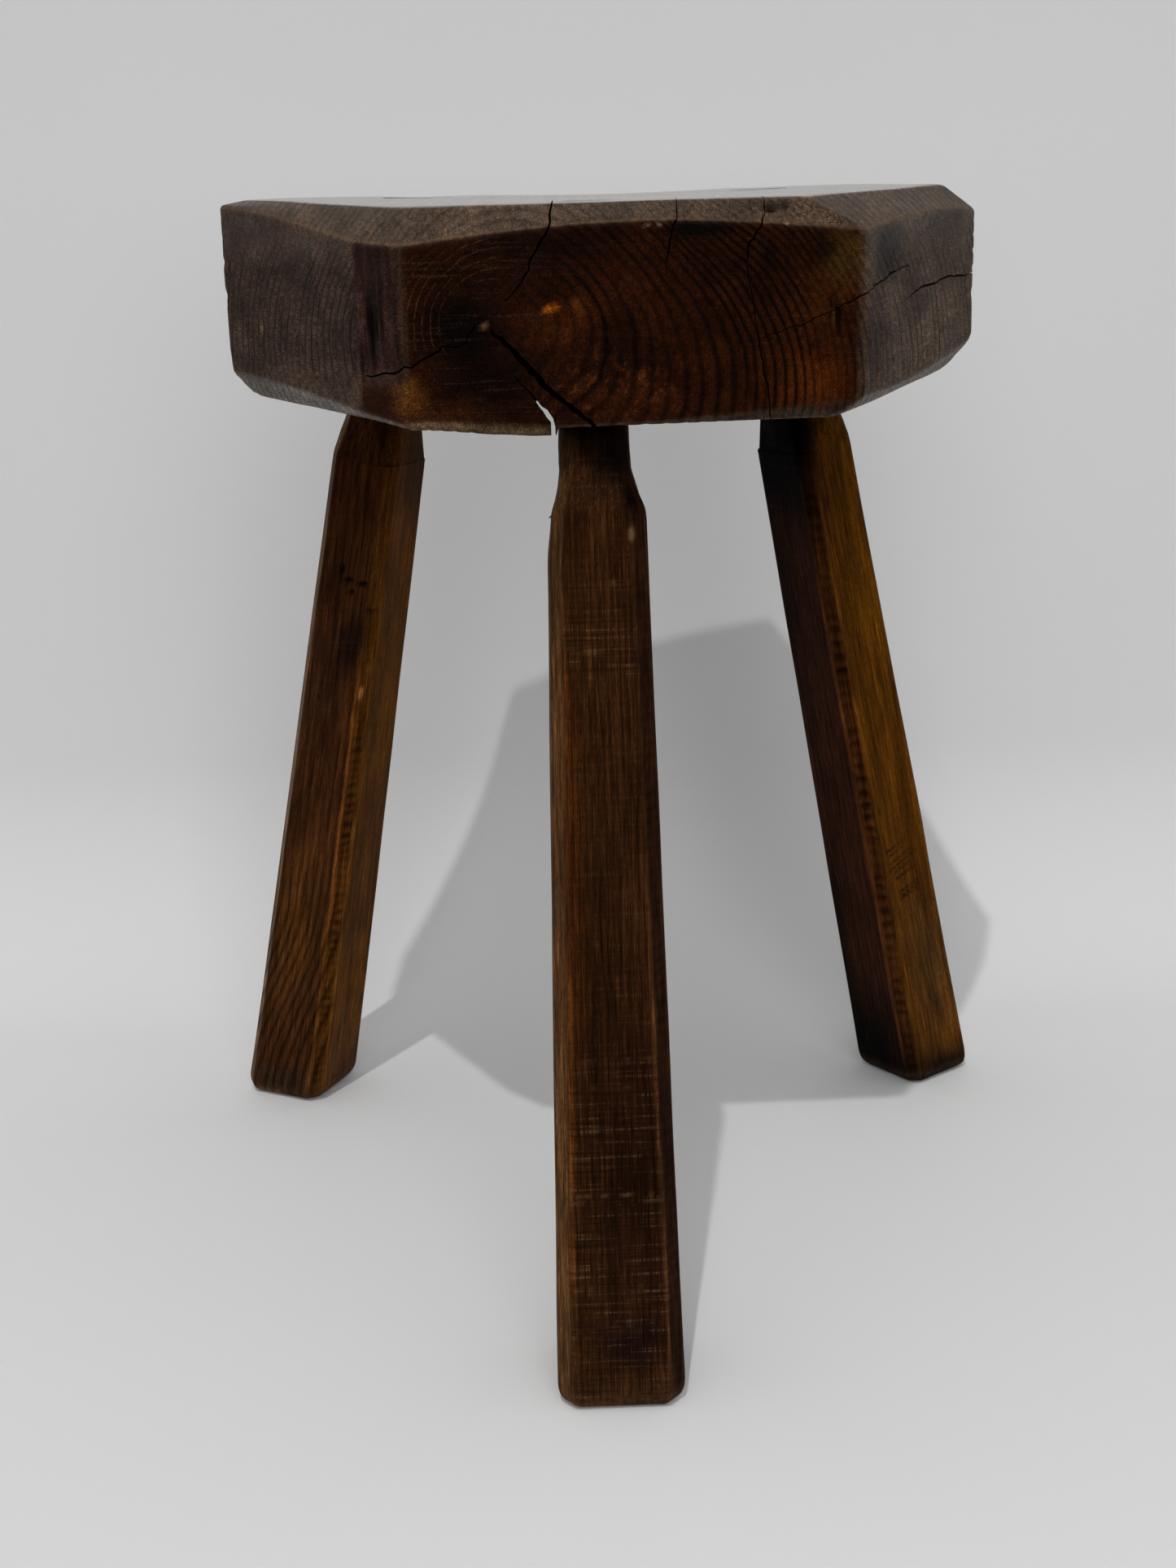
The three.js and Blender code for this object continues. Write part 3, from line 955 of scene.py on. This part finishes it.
# Where each leg's pith lies in its section, as (outward, across, drift for each millimetre of height).
LEG_PITH = dict(front=(10, -150, 0.0), left=(-130, 10, 0.015), right=(-30, 140, 0.03))
RING_WIDTH = dict(front=2.4, left=4.2, right=3.1)


def leg_rings(name, places):
    """Growth rings of a leg: its pith lies outside the leg and drifts across it along its length."""
    u, v, z = places.T
    pith_u, pith_v, drift = LEG_PITH[name]
    bend = layered_noise(places, (30, 30, 120), seed=len(name), octaves=2) * 2.4
    radius = np.hypot(u - pith_u - drift * z, v - pith_v) + bend
    flare = 1 + 0.2 * smoothstep(110, 0, z) * (name == "left")
    return radius / RING_WIDTH[name] / flare


def leg_stain_and_shade(name, leg, places, sides):
    """A leg's colour before its growth rings and pores, with painted shade in its chattered bites and the
    seat's painted shadow on its neck.
    """
    z = places[:, 2]
    colours = np.tile(tone(*LEG_BASE[name]), (len(places), 1))
    for side, colour in LEG_SIDES[name].items():
        colours = over(colours, sides[side], colour)
    # Painted shade in the chattered bites: darkest at the bottom of each bite, and darker where the bites are
    # deeper.
    bite_shade = 0.86 * min(CHATTER[name]["depth"] + 0.35, 1)
    colours = colours * (1 - bite_shade * chatter(name, places, sides, 8))[:, None]
    colours = paint(colours, places, LEG_STAINS_AND_SHADOWS[name], ragged=2.5)
    for centre, radii, _, colour, strength in LEG_PITS[name]:
        colours = over(colours, blob(places, centre, radii) * strength, colour)
    if name == "right":
        colours = colours * (1 - 0.95 * scratch_lines(places))[:, None]
    streak = layered_noise(places, (7, 7, 60), seed=101 + len(name), octaves=3)[:, None]
    colours = colours * (1 + 0.34 * streak)
    broken = 0.55 + 0.45 * noise(places, (30, 30, 9), seed=111)
    for u_share, v_share, low, high, colour in LEG_ARRISES[name]:
        shown = smoothstep(low - 8, low + 8, z) * smoothstep(high + 8, high - 8, z)
        arris = edge_line(leg, places, u_share, v_share, 0.9)
        colours = over(colours, arris * broken * shown, colour)
    return np.clip(colours, DARKEST, 1)


# --- Materials -----------------------------------------------------------------------------------------


def node(tree, kind, settings=None, **inputs):
    """Adds a shader node. Inputs are named, or numbered as i0, i1 and so on."""
    made = tree.nodes.new("ShaderNode" + kind)
    for key, value in (settings or {}).items():
        setattr(made, key, value)
    for key, value in inputs.items():
        place = int(key[1:]) if key[0] == "i" and key[1:].isdigit() else key.replace("_", " ")
        if isinstance(value, bpy.types.NodeSocket):
            tree.links.new(value, made.inputs[place])
        else:
            made.inputs[place].default_value = value
    return made


def calc(tree, operation, first, second=0.0, third=0.0):
    return node(tree, "Math", {"operation": operation}, i0=first, i1=second, i2=third).outputs[0]


def ramp(tree, value, stops):
    """A black to white ramp with stops of (place, grey)."""
    made = node(tree, "ValToRGB", Fac=value)
    elements = made.color_ramp.elements
    while len(elements) < len(stops):
        elements.new(0.5)
    for element, (place, grey) in zip(elements, stops):
        element.position = place
        element.color = (grey, grey, grey, 1)
    return made.outputs["Color"]


def attribute(tree, name):
    return node(tree, "Attribute", {"attribute_type": "GEOMETRY", "attribute_name": name})


def fine_noise(tree, place, scale, detail=4.0):
    stretched = node(tree, "VectorMath", {"operation": "MULTIPLY"}, i0=place, i1=scale).outputs[0]
    return node(tree, "TexNoise", Vector=stretched, Scale=1.0, Detail=detail, Roughness=0.6).outputs[0]


def tinted(tree, colour, amount, tint, blend="MIX"):
    mix = node(tree, "Mix", {"data_type": "RGBA", "blend_type": blend}, i0=amount, i6=colour, i7=tint)
    return mix.outputs[2]


def wood_material(name, along, gloss, fibre_length, wear_tint, dark_fibre=0.06, ring_bump=0.25):
    """Old stained wood. along is the axis of place that the fibres follow: 1 in the seat, 2 in a leg.

    The mesh carries stain_and_painted_light (colour, with painted shade, shadow and sheen), place
    (millimetres), rings (growth rings counted from the pith), and from 0 to 1: line (dark grooves), glow
    (pale arcs), saw (marks across the fibres) and wear (rubbed edges).
    """
    material = bpy.data.materials.new(name)
    material.use_nodes = True
    tree = material.node_tree
    tree.nodes.clear()
    place = attribute(tree, "place").outputs["Vector"]
    stain_and_painted_light = attribute(tree, "stain_and_painted_light").outputs["Color"]

    def grain(across, lengthwise, detail=4.0):
        scale = [across] * 3
        scale[along] = lengthwise
        return fine_noise(tree, place, scale, detail)

    wobble = calc(tree, "MULTIPLY_ADD", grain(0.16, 0.02), 0.5, attribute(tree, "rings").outputs["Fac"])
    ring = calc(tree, "FRACT", wobble)
    late = ramp(tree, ring, [(0.0, 0.7), (0.12, 0.14), (0.3, 0.0), (0.56, 0.12), (0.84, 1.0), (1.0, 0.7)])
    arc = ramp(tree, ring, [(0.0, 0.0), (0.40, 0.0), (0.5, 1.0), (0.58, 0.0), (1.0, 0.0)])
    fibre = grain(2.2, 1 / fibre_length)
    hair = grain(6.5, 0.4, 3.0)
    band = grain(0.62, 0.6 / fibre_length, 3.0)
    pore = ramp(tree, grain(3.4, 0.2, 2.0), [(0.30, 1.0), (0.42, 0.0)])
    cloud = grain(0.09, 0.02, 5.0)
    grime = fine_noise(tree, place, [0.35, 0.35, 0.35], 6.0)

    line = calc(tree, "MULTIPLY", late, attribute(tree, "line").outputs["Fac"])
    glow = calc(tree, "MULTIPLY", arc, attribute(tree, "glow").outputs["Fac"])
    glow = calc(tree, "MULTIPLY", glow, ramp(tree, grime, [(0.4, 0.0), (0.6, 1.0)]))
    colour = tinted(tree, stain_and_painted_light, line, (0.03, 0.02, 0.015, 1), "MULTIPLY")
    colour = tinted(tree, colour, glow, (0.16, 0.07, 0.022, 1))
    shade = ramp(tree, fibre, [(0.3, dark_fibre), (0.5, 0.38), (0.7, 1.0 - 1.6 * dark_fibre)])
    shade = calc(tree, "MULTIPLY", shade, ramp(tree, hair, [(0.3, 0.3), (0.7, 1.0)]))
    shade = calc(tree, "MULTIPLY", shade, ramp(tree, cloud, [(0.3, 0.5), (0.7, 1.0)]))
    shade = calc(tree, "MULTIPLY", shade, ramp(tree, band, [(0.34, 0.5), (0.5, 0.76), (0.64, 1.0)]))
    shade = calc(tree, "MULTIPLY", shade, 6.7)
    grey = node(tree, "CombineColor", Red=shade, Green=shade, Blue=shade).outputs[0]
    colour = tinted(tree, colour, 1.0, grey, "MULTIPLY")
    colour = tinted(tree, colour, calc(tree, "MULTIPLY", pore, 0.7), (0.004, 0.002, 0.0015, 1))

    scratch = fine_noise(tree, place, [0.035, 0.035, 0.9], 5.0)
    saw = attribute(tree, "saw").outputs["Fac"]
    dark_scratch = calc(tree, "MULTIPLY", ramp(tree, scratch, [(0.38, 1.0), (0.47, 0.0)]), saw)
    colour = tinted(tree, colour, calc(tree, "MULTIPLY", dark_scratch, 0.5), (0.006, 0.003, 0.002, 1))
    pale_scratch = calc(tree, "MULTIPLY", ramp(tree, scratch, [(0.56, 0.0), (0.66, 1.0)]), saw)
    pale_scratch = calc(tree, "MULTIPLY", pale_scratch, ramp(tree, fibre, [(0.46, 0.0), (0.6, 1.0)]))
    colour = tinted(tree, colour, calc(tree, "MULTIPLY", pale_scratch, 0.6), (0.16, 0.09, 0.05, 1))

    wear = attribute(tree, "wear").outputs["Fac"]
    rubbed = calc(tree, "MULTIPLY", wear, ramp(tree, grime, [(0.35, 0.2), (0.62, 1.0)]))
    colour = tinted(tree, colour, rubbed, wear_tint)
    dust = ramp(tree, grime, [(0.60, 0.0), (0.80, 0.015)])
    colour = tinted(tree, colour, dust, (0.16, 0.12, 0.09, 1))

    rough = calc(tree, "MULTIPLY_ADD", grime, 0.26, 0.29)
    rough = calc(tree, "MULTIPLY_ADD", line, 0.16, rough)
    rough = calc(tree, "MULTIPLY_ADD", fibre, 0.1, rough)
    polish = attribute(tree, "polish").outputs["Fac"]
    rough = calc(tree, "MULTIPLY_ADD", polish, -0.2, rough)

    height = calc(tree, "MULTIPLY", line, -ring_bump)
    height = calc(tree, "MULTIPLY_ADD", fibre, 0.16, height)
    height = calc(tree, "MULTIPLY_ADD", hair, 0.07, height)
    height = calc(tree, "MULTIPLY_ADD", pore, -0.12, height)
    height = calc(tree, "MULTIPLY_ADD", dark_scratch, -0.08, height)
    height = calc(tree, "MULTIPLY", height, calc(tree, "MULTIPLY_ADD", polish, -0.8, 1.0))
    bump = node(tree, "Bump", Height=height, Strength=0.8, Distance=0.0006).outputs[0]

    shader = node(tree, "BsdfPrincipled", Base_Color=colour, Roughness=rough, Normal=bump)
    shader.inputs["Specular IOR Level"].default_value = gloss
    shader.inputs["Coat Roughness"].default_value = 0.16
    tree.links.new(polish, shader.inputs["Coat Weight"])
    output = node(tree, "OutputMaterial", Surface=shader.outputs[0])
    output.is_active_output = True
    return material


# --- Putting attributes on a cut mesh ------------------------------------------------------------------


def dress(piece, grid_points, values, uncut):
    """Gives each vertex the values of the nearest grid point, and paints shade on the walls of cracks and
    other cuts, darker the deeper they go.
    """
    tree = KDTree(len(grid_points))
    for i, point in enumerate(grid_points.tolist()):
        tree.insert(point, i)
    tree.balance()
    skin = BVHTree.FromPolygons(grid_points.tolist(), uncut)
    points = plan_points(piece)
    index = np.zeros(len(points), int)
    depth = np.zeros(len(points))
    for k, point in enumerate(points.tolist()):
        _, index[k], away = tree.find(point)
        if away > 0.02:
            depth[k] = skin.find_nearest(point)[3]
    # Painted shade: the colour of a cut's walls darkens with depth below the surface.
    shade = 1 - 0.93 * smoothstep(0.05, 2.0, depth)
    set_colour(piece, "stain_and_painted_light", values["stain_and_painted_light"][index] * shade[:, None])
    for key in ("rings", "line", "glow", "saw", "wear", "polish"):
        value = values[key][index]
        if key in ("glow", "wear", "line"):
            value = value * (depth < 0.05)
        set_value(piece, key, value)
    layer = piece.data.attributes.new("place", "FLOAT_VECTOR", "POINT")
    place = values["place"][index] if "place" in values else points
    layer.data.foreach_set("vector", place.astype(np.float32).ravel())


def edge_wear(before, after, normals, scale):
    """Where softening pulled the surface inwards there was an outer edge, which hands have rubbed."""
    pulled = ((before - after) * normals).sum(1)
    return np.clip(pulled / scale, 0, 1)


def grid_mesh(name, rings, upward_hub, downward_hub):
    """A closed mesh from rings, with a fan at each end."""
    levels, columns = rings.shape[:2]
    points = np.concatenate([rings.reshape(-1, 3), [downward_hub], [upward_hub]])
    last = (levels - 1) * columns
    count = levels * columns
    bottom = cap_faces(0, columns, count, upwards=False)
    top = cap_faces(last, columns, count + 1, upwards=True)
    quads = grid_faces(levels, columns)
    piece = make_mesh(name, points, quads, (bottom, top))
    faces = quads.tolist() + bottom.tolist() + top.tolist()
    return piece, points, faces


def seat_piece():
    sharp_rings = seat_grid()
    rings = soften(sharp_rings, 5)
    hub_low = rings[0].mean(0)
    hub_high = rings[-1].mean(0)
    piece, points, faces = grid_mesh("seat_body", rings, hub_high, hub_low)
    normals = plan_normals(piece)
    sides, _ = seat_columns()
    facing = side_weights(sides, len(rings), normals)
    sharp_points = np.concatenate([sharp_rings.reshape(-1, 3), [hub_low], [hub_high]])
    wear = edge_wear(sharp_points, points, normals, 0.8)

    shaped = points + normals * seat_relief(points, facing)[:, None]
    shaped[:, 2] += seat_dish(points) + hanging_lip(points)
    move_points(piece, shaped)

    x, _, z = points.T
    near_pith = np.hypot(x - PITH[0], z - PITH[1])
    fade_top = smoothstep(423, 404, z)
    fade_low = smoothstep(362, 378, z)
    line = 0.2 + facing["left"] * fade_top * fade_low * 1.0 + facing["right"] * 0.75 * fade_top
    strong = 0.7 + 0.3 * smoothstep(40, 52, x) - 0.6 * smoothstep(74, 84, x)
    line += facing["front"] * strong * smoothstep(-30, 0, x) + facing["down"] * 0.4
    line += (1 - facing["upright"]) * facing["up"] * 0.15
    rings = ring_phase(points)
    ring_number = np.floor(rings)
    line *= 0.82 + 0.3 * noise(np.column_stack([ring_number, ring_number * 0, z / 25]), 0.9, seed=23)
    glow = facing["front"] * smoothstep(13, 17, near_pith) * smoothstep(36, 26, near_pith)
    glow = glow * smoothstep(-26, -42, x) * smoothstep(378, 388, z) * 0.5
    values = dict(
        stain_and_painted_light=seat_stain_and_sheen(points, facing),
        rings=rings,
        line=np.clip(line, 0, 1),
        glow=glow,
        saw=facing["front"] * (0.3 * smoothstep(20, -30, x) + 0.12),
        wear=wear * (0.35 + 0.3 * facing["up"]),
        polish=0.9 * smoothstep(0.975, 0.998, normals[:, 2]),
    )
    cutters = [split_cutter()]
    cutters += [mortise_cutter(leg) for leg in LEGS.values()]
    for k, (path, depth) in enumerate(CRACKS):
        cutters.append(blade("crack_cutter_%d" % k, wander(path, 2.2, 0.28, 200 + k), depth))
    cut_away(piece, cutters)
    dress(piece, shaped, values, faces)
    shade_smooth(piece, 38)
    return piece


def mortise_cutter(leg):
    """The tapered round hole of one leg's tenon."""
    outward, _, across, out = leg_axes(leg)
    turn = np.linspace(0, 2 * math.pi, 48, endpoint=False)
    rings = []
    for z in (330.0, SEAT_UNDERSIDE, SEAT_TOP, 445.0):
        radius = tenon_radius(z) + MORTISE_GAP
        spoke = np.cos(turn)[:, None] * out + np.sin(turn)[:, None] * across
        rings.append(axis_point(outward, z) + radius * spoke)
    rings = np.array(rings)
    cutter, _, _ = grid_mesh("mortise_cutter", rings, rings[-1].mean(0), rings[0].mean(0))
    close_outwards(cutter)
    return cutter


def leg_piece(name):
    leg = LEGS[name]
    sharp_rings, place_rings = leg_grid(leg)
    rings = sharp_rings.copy()
    body = soften(sharp_rings, 3)
    rings[1:-1] = body[1:-1]
    rings[0][:, 2] = 0.0
    top, top_place = rings[-1], place_rings[-1]
    sole, sole_place = rings[0], place_rings[0]
    up_hub, down_hub = top.mean(0), sole.mean(0)
    inner = [0.8, 0.55, 0.28]
    more_top = [top * s + up_hub * (1 - s) for s in inner]
    more_sole = [sole * s + down_hub * (1 - s) for s in reversed(inner)]
    rings = np.concatenate([more_sole, rings, more_top])
    sole_places = [sole_place * [s, s, 1] for s in reversed(inner)]
    top_places = [top_place * [s, s, 1] for s in inner]
    place_rings = np.concatenate([sole_places, place_rings, top_places])
    piece, points, faces = grid_mesh("leg_%s_body" % name, rings, up_hub, down_hub)
    places = np.concatenate([place_rings.reshape(-1, 3), [[0, 0, 0.0]], [[0, 0, SEAT_TOP]]])
    normals = plan_normals(piece)
    sides = facing_sides(leg, places)
    shaped = points + normals * leg_relief(name, places, sides)[:, None]
    shaped[:, 2] += seat_dish(shaped) * (places[:, 2] > SEAT_TOP - 1)
    shaped[:, 2] = np.maximum(shaped[:, 2], 0)
    move_points(piece, shaped)

    sharp_all = np.concatenate([rings.reshape(-1, 3), [down_hub], [up_hub]])
    count = len(more_sole) * rings.shape[1]
    sharp_all[count:count + sharp_rings.size // 3] = sharp_rings.reshape(-1, 3)
    z = places[:, 2]
    wear = edge_wear(sharp_all, points, normals, 0.5) * smoothstep(SHOULDER_Z - 6, SHOULDER_Z - 16, z) * 0.6
    on_shaft = (z < SHOULDER_Z + 20) * 1.0
    saw = on_shaft * 0.12
    glow = np.zeros(len(points))
    line = on_shaft * 0.2 + 0.1
    if name == "front":
        bands = smoothstep(140, 112, z) + smoothstep(262, 270, z) * smoothstep(300, 282, z)
        saw = on_shaft * (0.3 + 0.7 * bands) * sides["+u"]
        wear = np.maximum(wear, saw_lines(places, FRONT_SAW_LINES, 81) * sides["+u"] * 0.8)
    if name == "left":
        line = on_shaft * (0.22 + 0.36 * smoothstep(170, 90, z)) * (1 - 0.9 * sides["-u"]) + 0.08
    values = dict(
        stain_and_painted_light=leg_stain_and_shade(name, leg, places, sides), rings=leg_rings(name, places), line=line,
        glow=glow, saw=saw, wear=wear * 0.8, polish=(z > SEAT_TOP - 1) * 1.0, place=places,
    )
    cut_away(piece, [wedge_slot(name)])
    dress(piece, shaped, values, faces)
    shade_smooth(piece, 40)
    return piece


# --- Wedges --------------------------------------------------------------------------------------------

WEDGE = dict(length=30.0, thick_top=4.0, thick_tip=1.2, width=18.0)


def wedge_rings(name, grow, steps, rise=0.0):
    """Rounded-oblong rings up a wedge, which stands in the end of that leg's tenon."""
    outward, _, _, _ = leg_axes(LEGS[name])
    heights = np.linspace(SEAT_TOP - WEDGE["length"] - grow, SEAT_TOP + rise, steps)
    turn = np.linspace(0, 2 * math.pi, 56, endpoint=False)
    c, s = np.cos(turn), np.sin(turn)
    blunt = (np.abs(c) ** 8 + np.abs(s) ** 8) ** (-1 / 8)
    rings = []
    for z in heights:
        t = np.clip((z - SEAT_TOP + WEDGE["length"]) / WEDGE["length"], 0, 1)
        half_thick = (WEDGE["thick_tip"] * (1 - t) + WEDGE["thick_top"] * t) / 2 + grow
        half_wide = WEDGE["width"] / 2 + grow
        outline = np.column_stack([c * blunt * half_wide, s * blunt * half_thick, 0 * c])
        rings.append(axis_point(outward, z) + outline)
    return np.array(rings)


def wedge_slot(name):
    rings = wedge_rings(name, MORTISE_GAP / 2, 6, rise=8.0)
    cutter, _, _ = grid_mesh("slot_cutter", rings, rings[-1].mean(0), rings[0].mean(0))
    close_outwards(cutter)
    return cutter


def wedge_piece(name):
    rings = wedge_rings(name, 0.0, 34)
    hub = rings[-1].mean(0)
    inner = [0.93, 0.75, 0.5, 0.25]
    rings = np.concatenate([rings, [rings[-1] * s + hub * (1 - s) for s in inner]])
    piece, points, faces = grid_mesh("wedge_%s_body" % name, rings, hub, rings[0].mean(0))
    normals = plan_normals(piece)
    rough = layered_noise(points, (1.6, 1.6, 9), seed=140, octaves=3) * 0.12
    shaped = points + normals * rough[:, None]
    shaped[:, 2] += seat_dish(points) - 0.1
    move_points(piece, shaped)
    tint = tone(110, 78, 48) * (1 + 0.25 * layered_noise(points, (3, 3, 20), seed=150)[:, None])
    flat = np.zeros(len(points))
    values = dict(
        stain_and_painted_light=tint, rings=points[:, 1] / 1.3, line=flat + 0.3, glow=flat, saw=flat,
        wear=flat, polish=flat + 1,
    )
    dress(piece, shaped, values, faces)
    shade_smooth(piece, 40)
    return piece


# --- Studio --------------------------------------------------------------------------------------------


def paper_material():
    """Matt paper, a little paler up the wall as painted light, and clear from behind, so that every side
    shows.
    """
    material = bpy.data.materials.new("paper")
    material.use_nodes = True
    tree = material.node_tree
    shader = tree.nodes["Principled BSDF"]
    geometry = node(tree, "NewGeometry")
    height = node(tree, "SeparateXYZ", Vector=geometry.outputs["Position"]).outputs["Z"]
    # Painted light: the paper's colour grows paler with height, from the floor up the wall.
    colour = ramp(tree, height, [(0.0, 0.765), (0.45, 0.87)])
    tree.links.new(colour, shader.inputs["Base Color"])
    shader.inputs["Roughness"].default_value = 0.75
    shader.inputs["Specular IOR Level"].default_value = 0.25
    clear = node(tree, "BsdfTransparent")
    behind = geometry.outputs["Backfacing"]
    mix = node(tree, "MixShader", i0=behind, i1=shader.outputs[0], i2=clear.outputs[0])
    tree.links.new(mix.outputs[0], tree.nodes["Material Output"].inputs["Surface"])
    return material


def paper_sweep():
    """A sheet of pale paper that lies flat under the stool and curves up behind it."""
    flat_to, curve, tall, half_wide, front = 150.0, 130.0, 1600.0, 900.0, -520.0
    profile = [(y, 0.0) for y in np.linspace(front, flat_to, 10)]
    for a in np.linspace(0, math.radians(84), 24)[1:]:
        profile.append((flat_to + curve * math.sin(a), curve * (1 - math.cos(a))))
    lean = math.radians(84)
    y, z = profile[-1]
    for step in np.linspace(0, tall, 8)[1:]:
        profile.append((y + step * math.cos(lean), z + step * math.sin(lean)))
    points, quads = [], []
    for y, z in profile:
        points += [(-half_wide, y, z), (half_wide, y, z)]
    for k in range(len(profile) - 1):
        quads.append((2 * k, 2 * k + 1, 2 * k + 3, 2 * k + 2))
    sheet = make_mesh("paper_sweep", points, np.array(quads))
    sheet.data.polygons.foreach_set("use_smooth", [True] * len(quads))
    sheet.data.materials.append(paper_material())


def surroundings():
    """White room: bright behind the stool and above it, and dark behind the camera."""
    world = bpy.data.worlds.new("room")
    world.use_nodes = True
    bpy.context.scene.world = world
    tree = world.node_tree
    tree.nodes.clear()
    direction = node(tree, "TexCoord").outputs["Generated"]
    parts = node(tree, "SeparateXYZ", Vector=direction)
    backness = calc(tree, "MULTIPLY_ADD", parts.outputs["Y"], 0.5, 0.5)
    room = ramp(tree, backness, [(0.0, 0.01), (0.3, 0.03), (0.5, 0.17), (0.7, 0.46), (1.0, 0.56)])
    upness = ramp(tree, parts.outputs["Z"], [(0.25, 0.0), (0.75, 1.0)])
    room = tinted(tree, room, upness, (0.64, 0.64, 0.64, 1))
    seen = node(tree, "LightPath").outputs["Is Camera Ray"]
    room = tinted(tree, room, seen, (0.56, 0.56, 0.56, 1))
    background = node(tree, "Background", Color=room, Strength=1.0)
    node(tree, "OutputWorld", Surface=background.outputs[0])


def lamp(name, place, aim, size, power, kind="POINT"):
    data = bpy.data.lights.new(name, kind)
    data.energy = power
    if kind == "AREA":
        data.size = size * MM
    else:
        data.shadow_soft_size = size * MM
    light = bpy.data.objects.new(name, data)
    light.location = to_frame(place)
    towards = Vector(to_frame(aim) - to_frame(place))
    light.rotation_euler = towards.to_track_quat("-Z", "Y").to_euler()
    light.visible_glossy = kind != "AREA"
    bpy.context.scene.collection.objects.link(light)


# The camera's place in the stool's plan, its angles in degrees and its lens.
CAMERA_PLACE = (-5.9, -862.2, 449.5)
CAMERA_PITCH_DOWN = 17.25
CAMERA_ROLL = -1.67
CAMERA_LENS = 46.98


def set_camera():
    """Looks at the stool from the front and a little above, with a slight roll."""
    data = bpy.data.cameras.new("camera")
    data.sensor_width = 36.0
    data.lens = CAMERA_LENS
    data.clip_start = 0.05
    data.clip_end = 20.0
    camera = bpy.data.objects.new("camera", data)
    place = Matrix.Translation(Vector(to_frame(CAMERA_PLACE)))
    pitch = Matrix.Rotation(math.radians(90 - CAMERA_PITCH_DOWN), 4, "X")
    roll = Matrix.Rotation(math.radians(CAMERA_ROLL), 4, "Z")
    camera.matrix_world = place @ pitch @ roll
    bpy.context.scene.collection.objects.link(camera)
    bpy.context.scene.camera = camera


def finish_piece(piece, cad_node, material):
    piece.data.materials.clear()
    piece.data.materials.append(material)
    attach(piece, "root")
    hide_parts(cad_node)


set_camera()
paper_sweep()
surroundings()
lamp("key", (-525, -2400, 5000), (0, 0, 200), 44, 305)
lamp("front_fill", (150, -1900, 1000), (0, 250, 200), 1300, 13, "AREA")
bpy.context.scene.view_settings.view_transform = "Standard"

seat_wood = wood_material(
    "seat_wood", along=1, gloss=0.05, fibre_length=14, wear_tint=(0.24, 0.15, 0.085, 1)
)
leg_wood = wood_material(
    "leg_wood", along=2, gloss=0.02, fibre_length=20, wear_tint=(0.15, 0.075, 0.03, 1), dark_fibre=0.17,
    ring_bump=0.15
)
finish_piece(seat_piece(), "seat", seat_wood)
for side in LEGS:
    finish_piece(leg_piece(side), "leg_" + side, leg_wood)
    finish_piece(wedge_piece(side), "wedge_" + side, leg_wood)
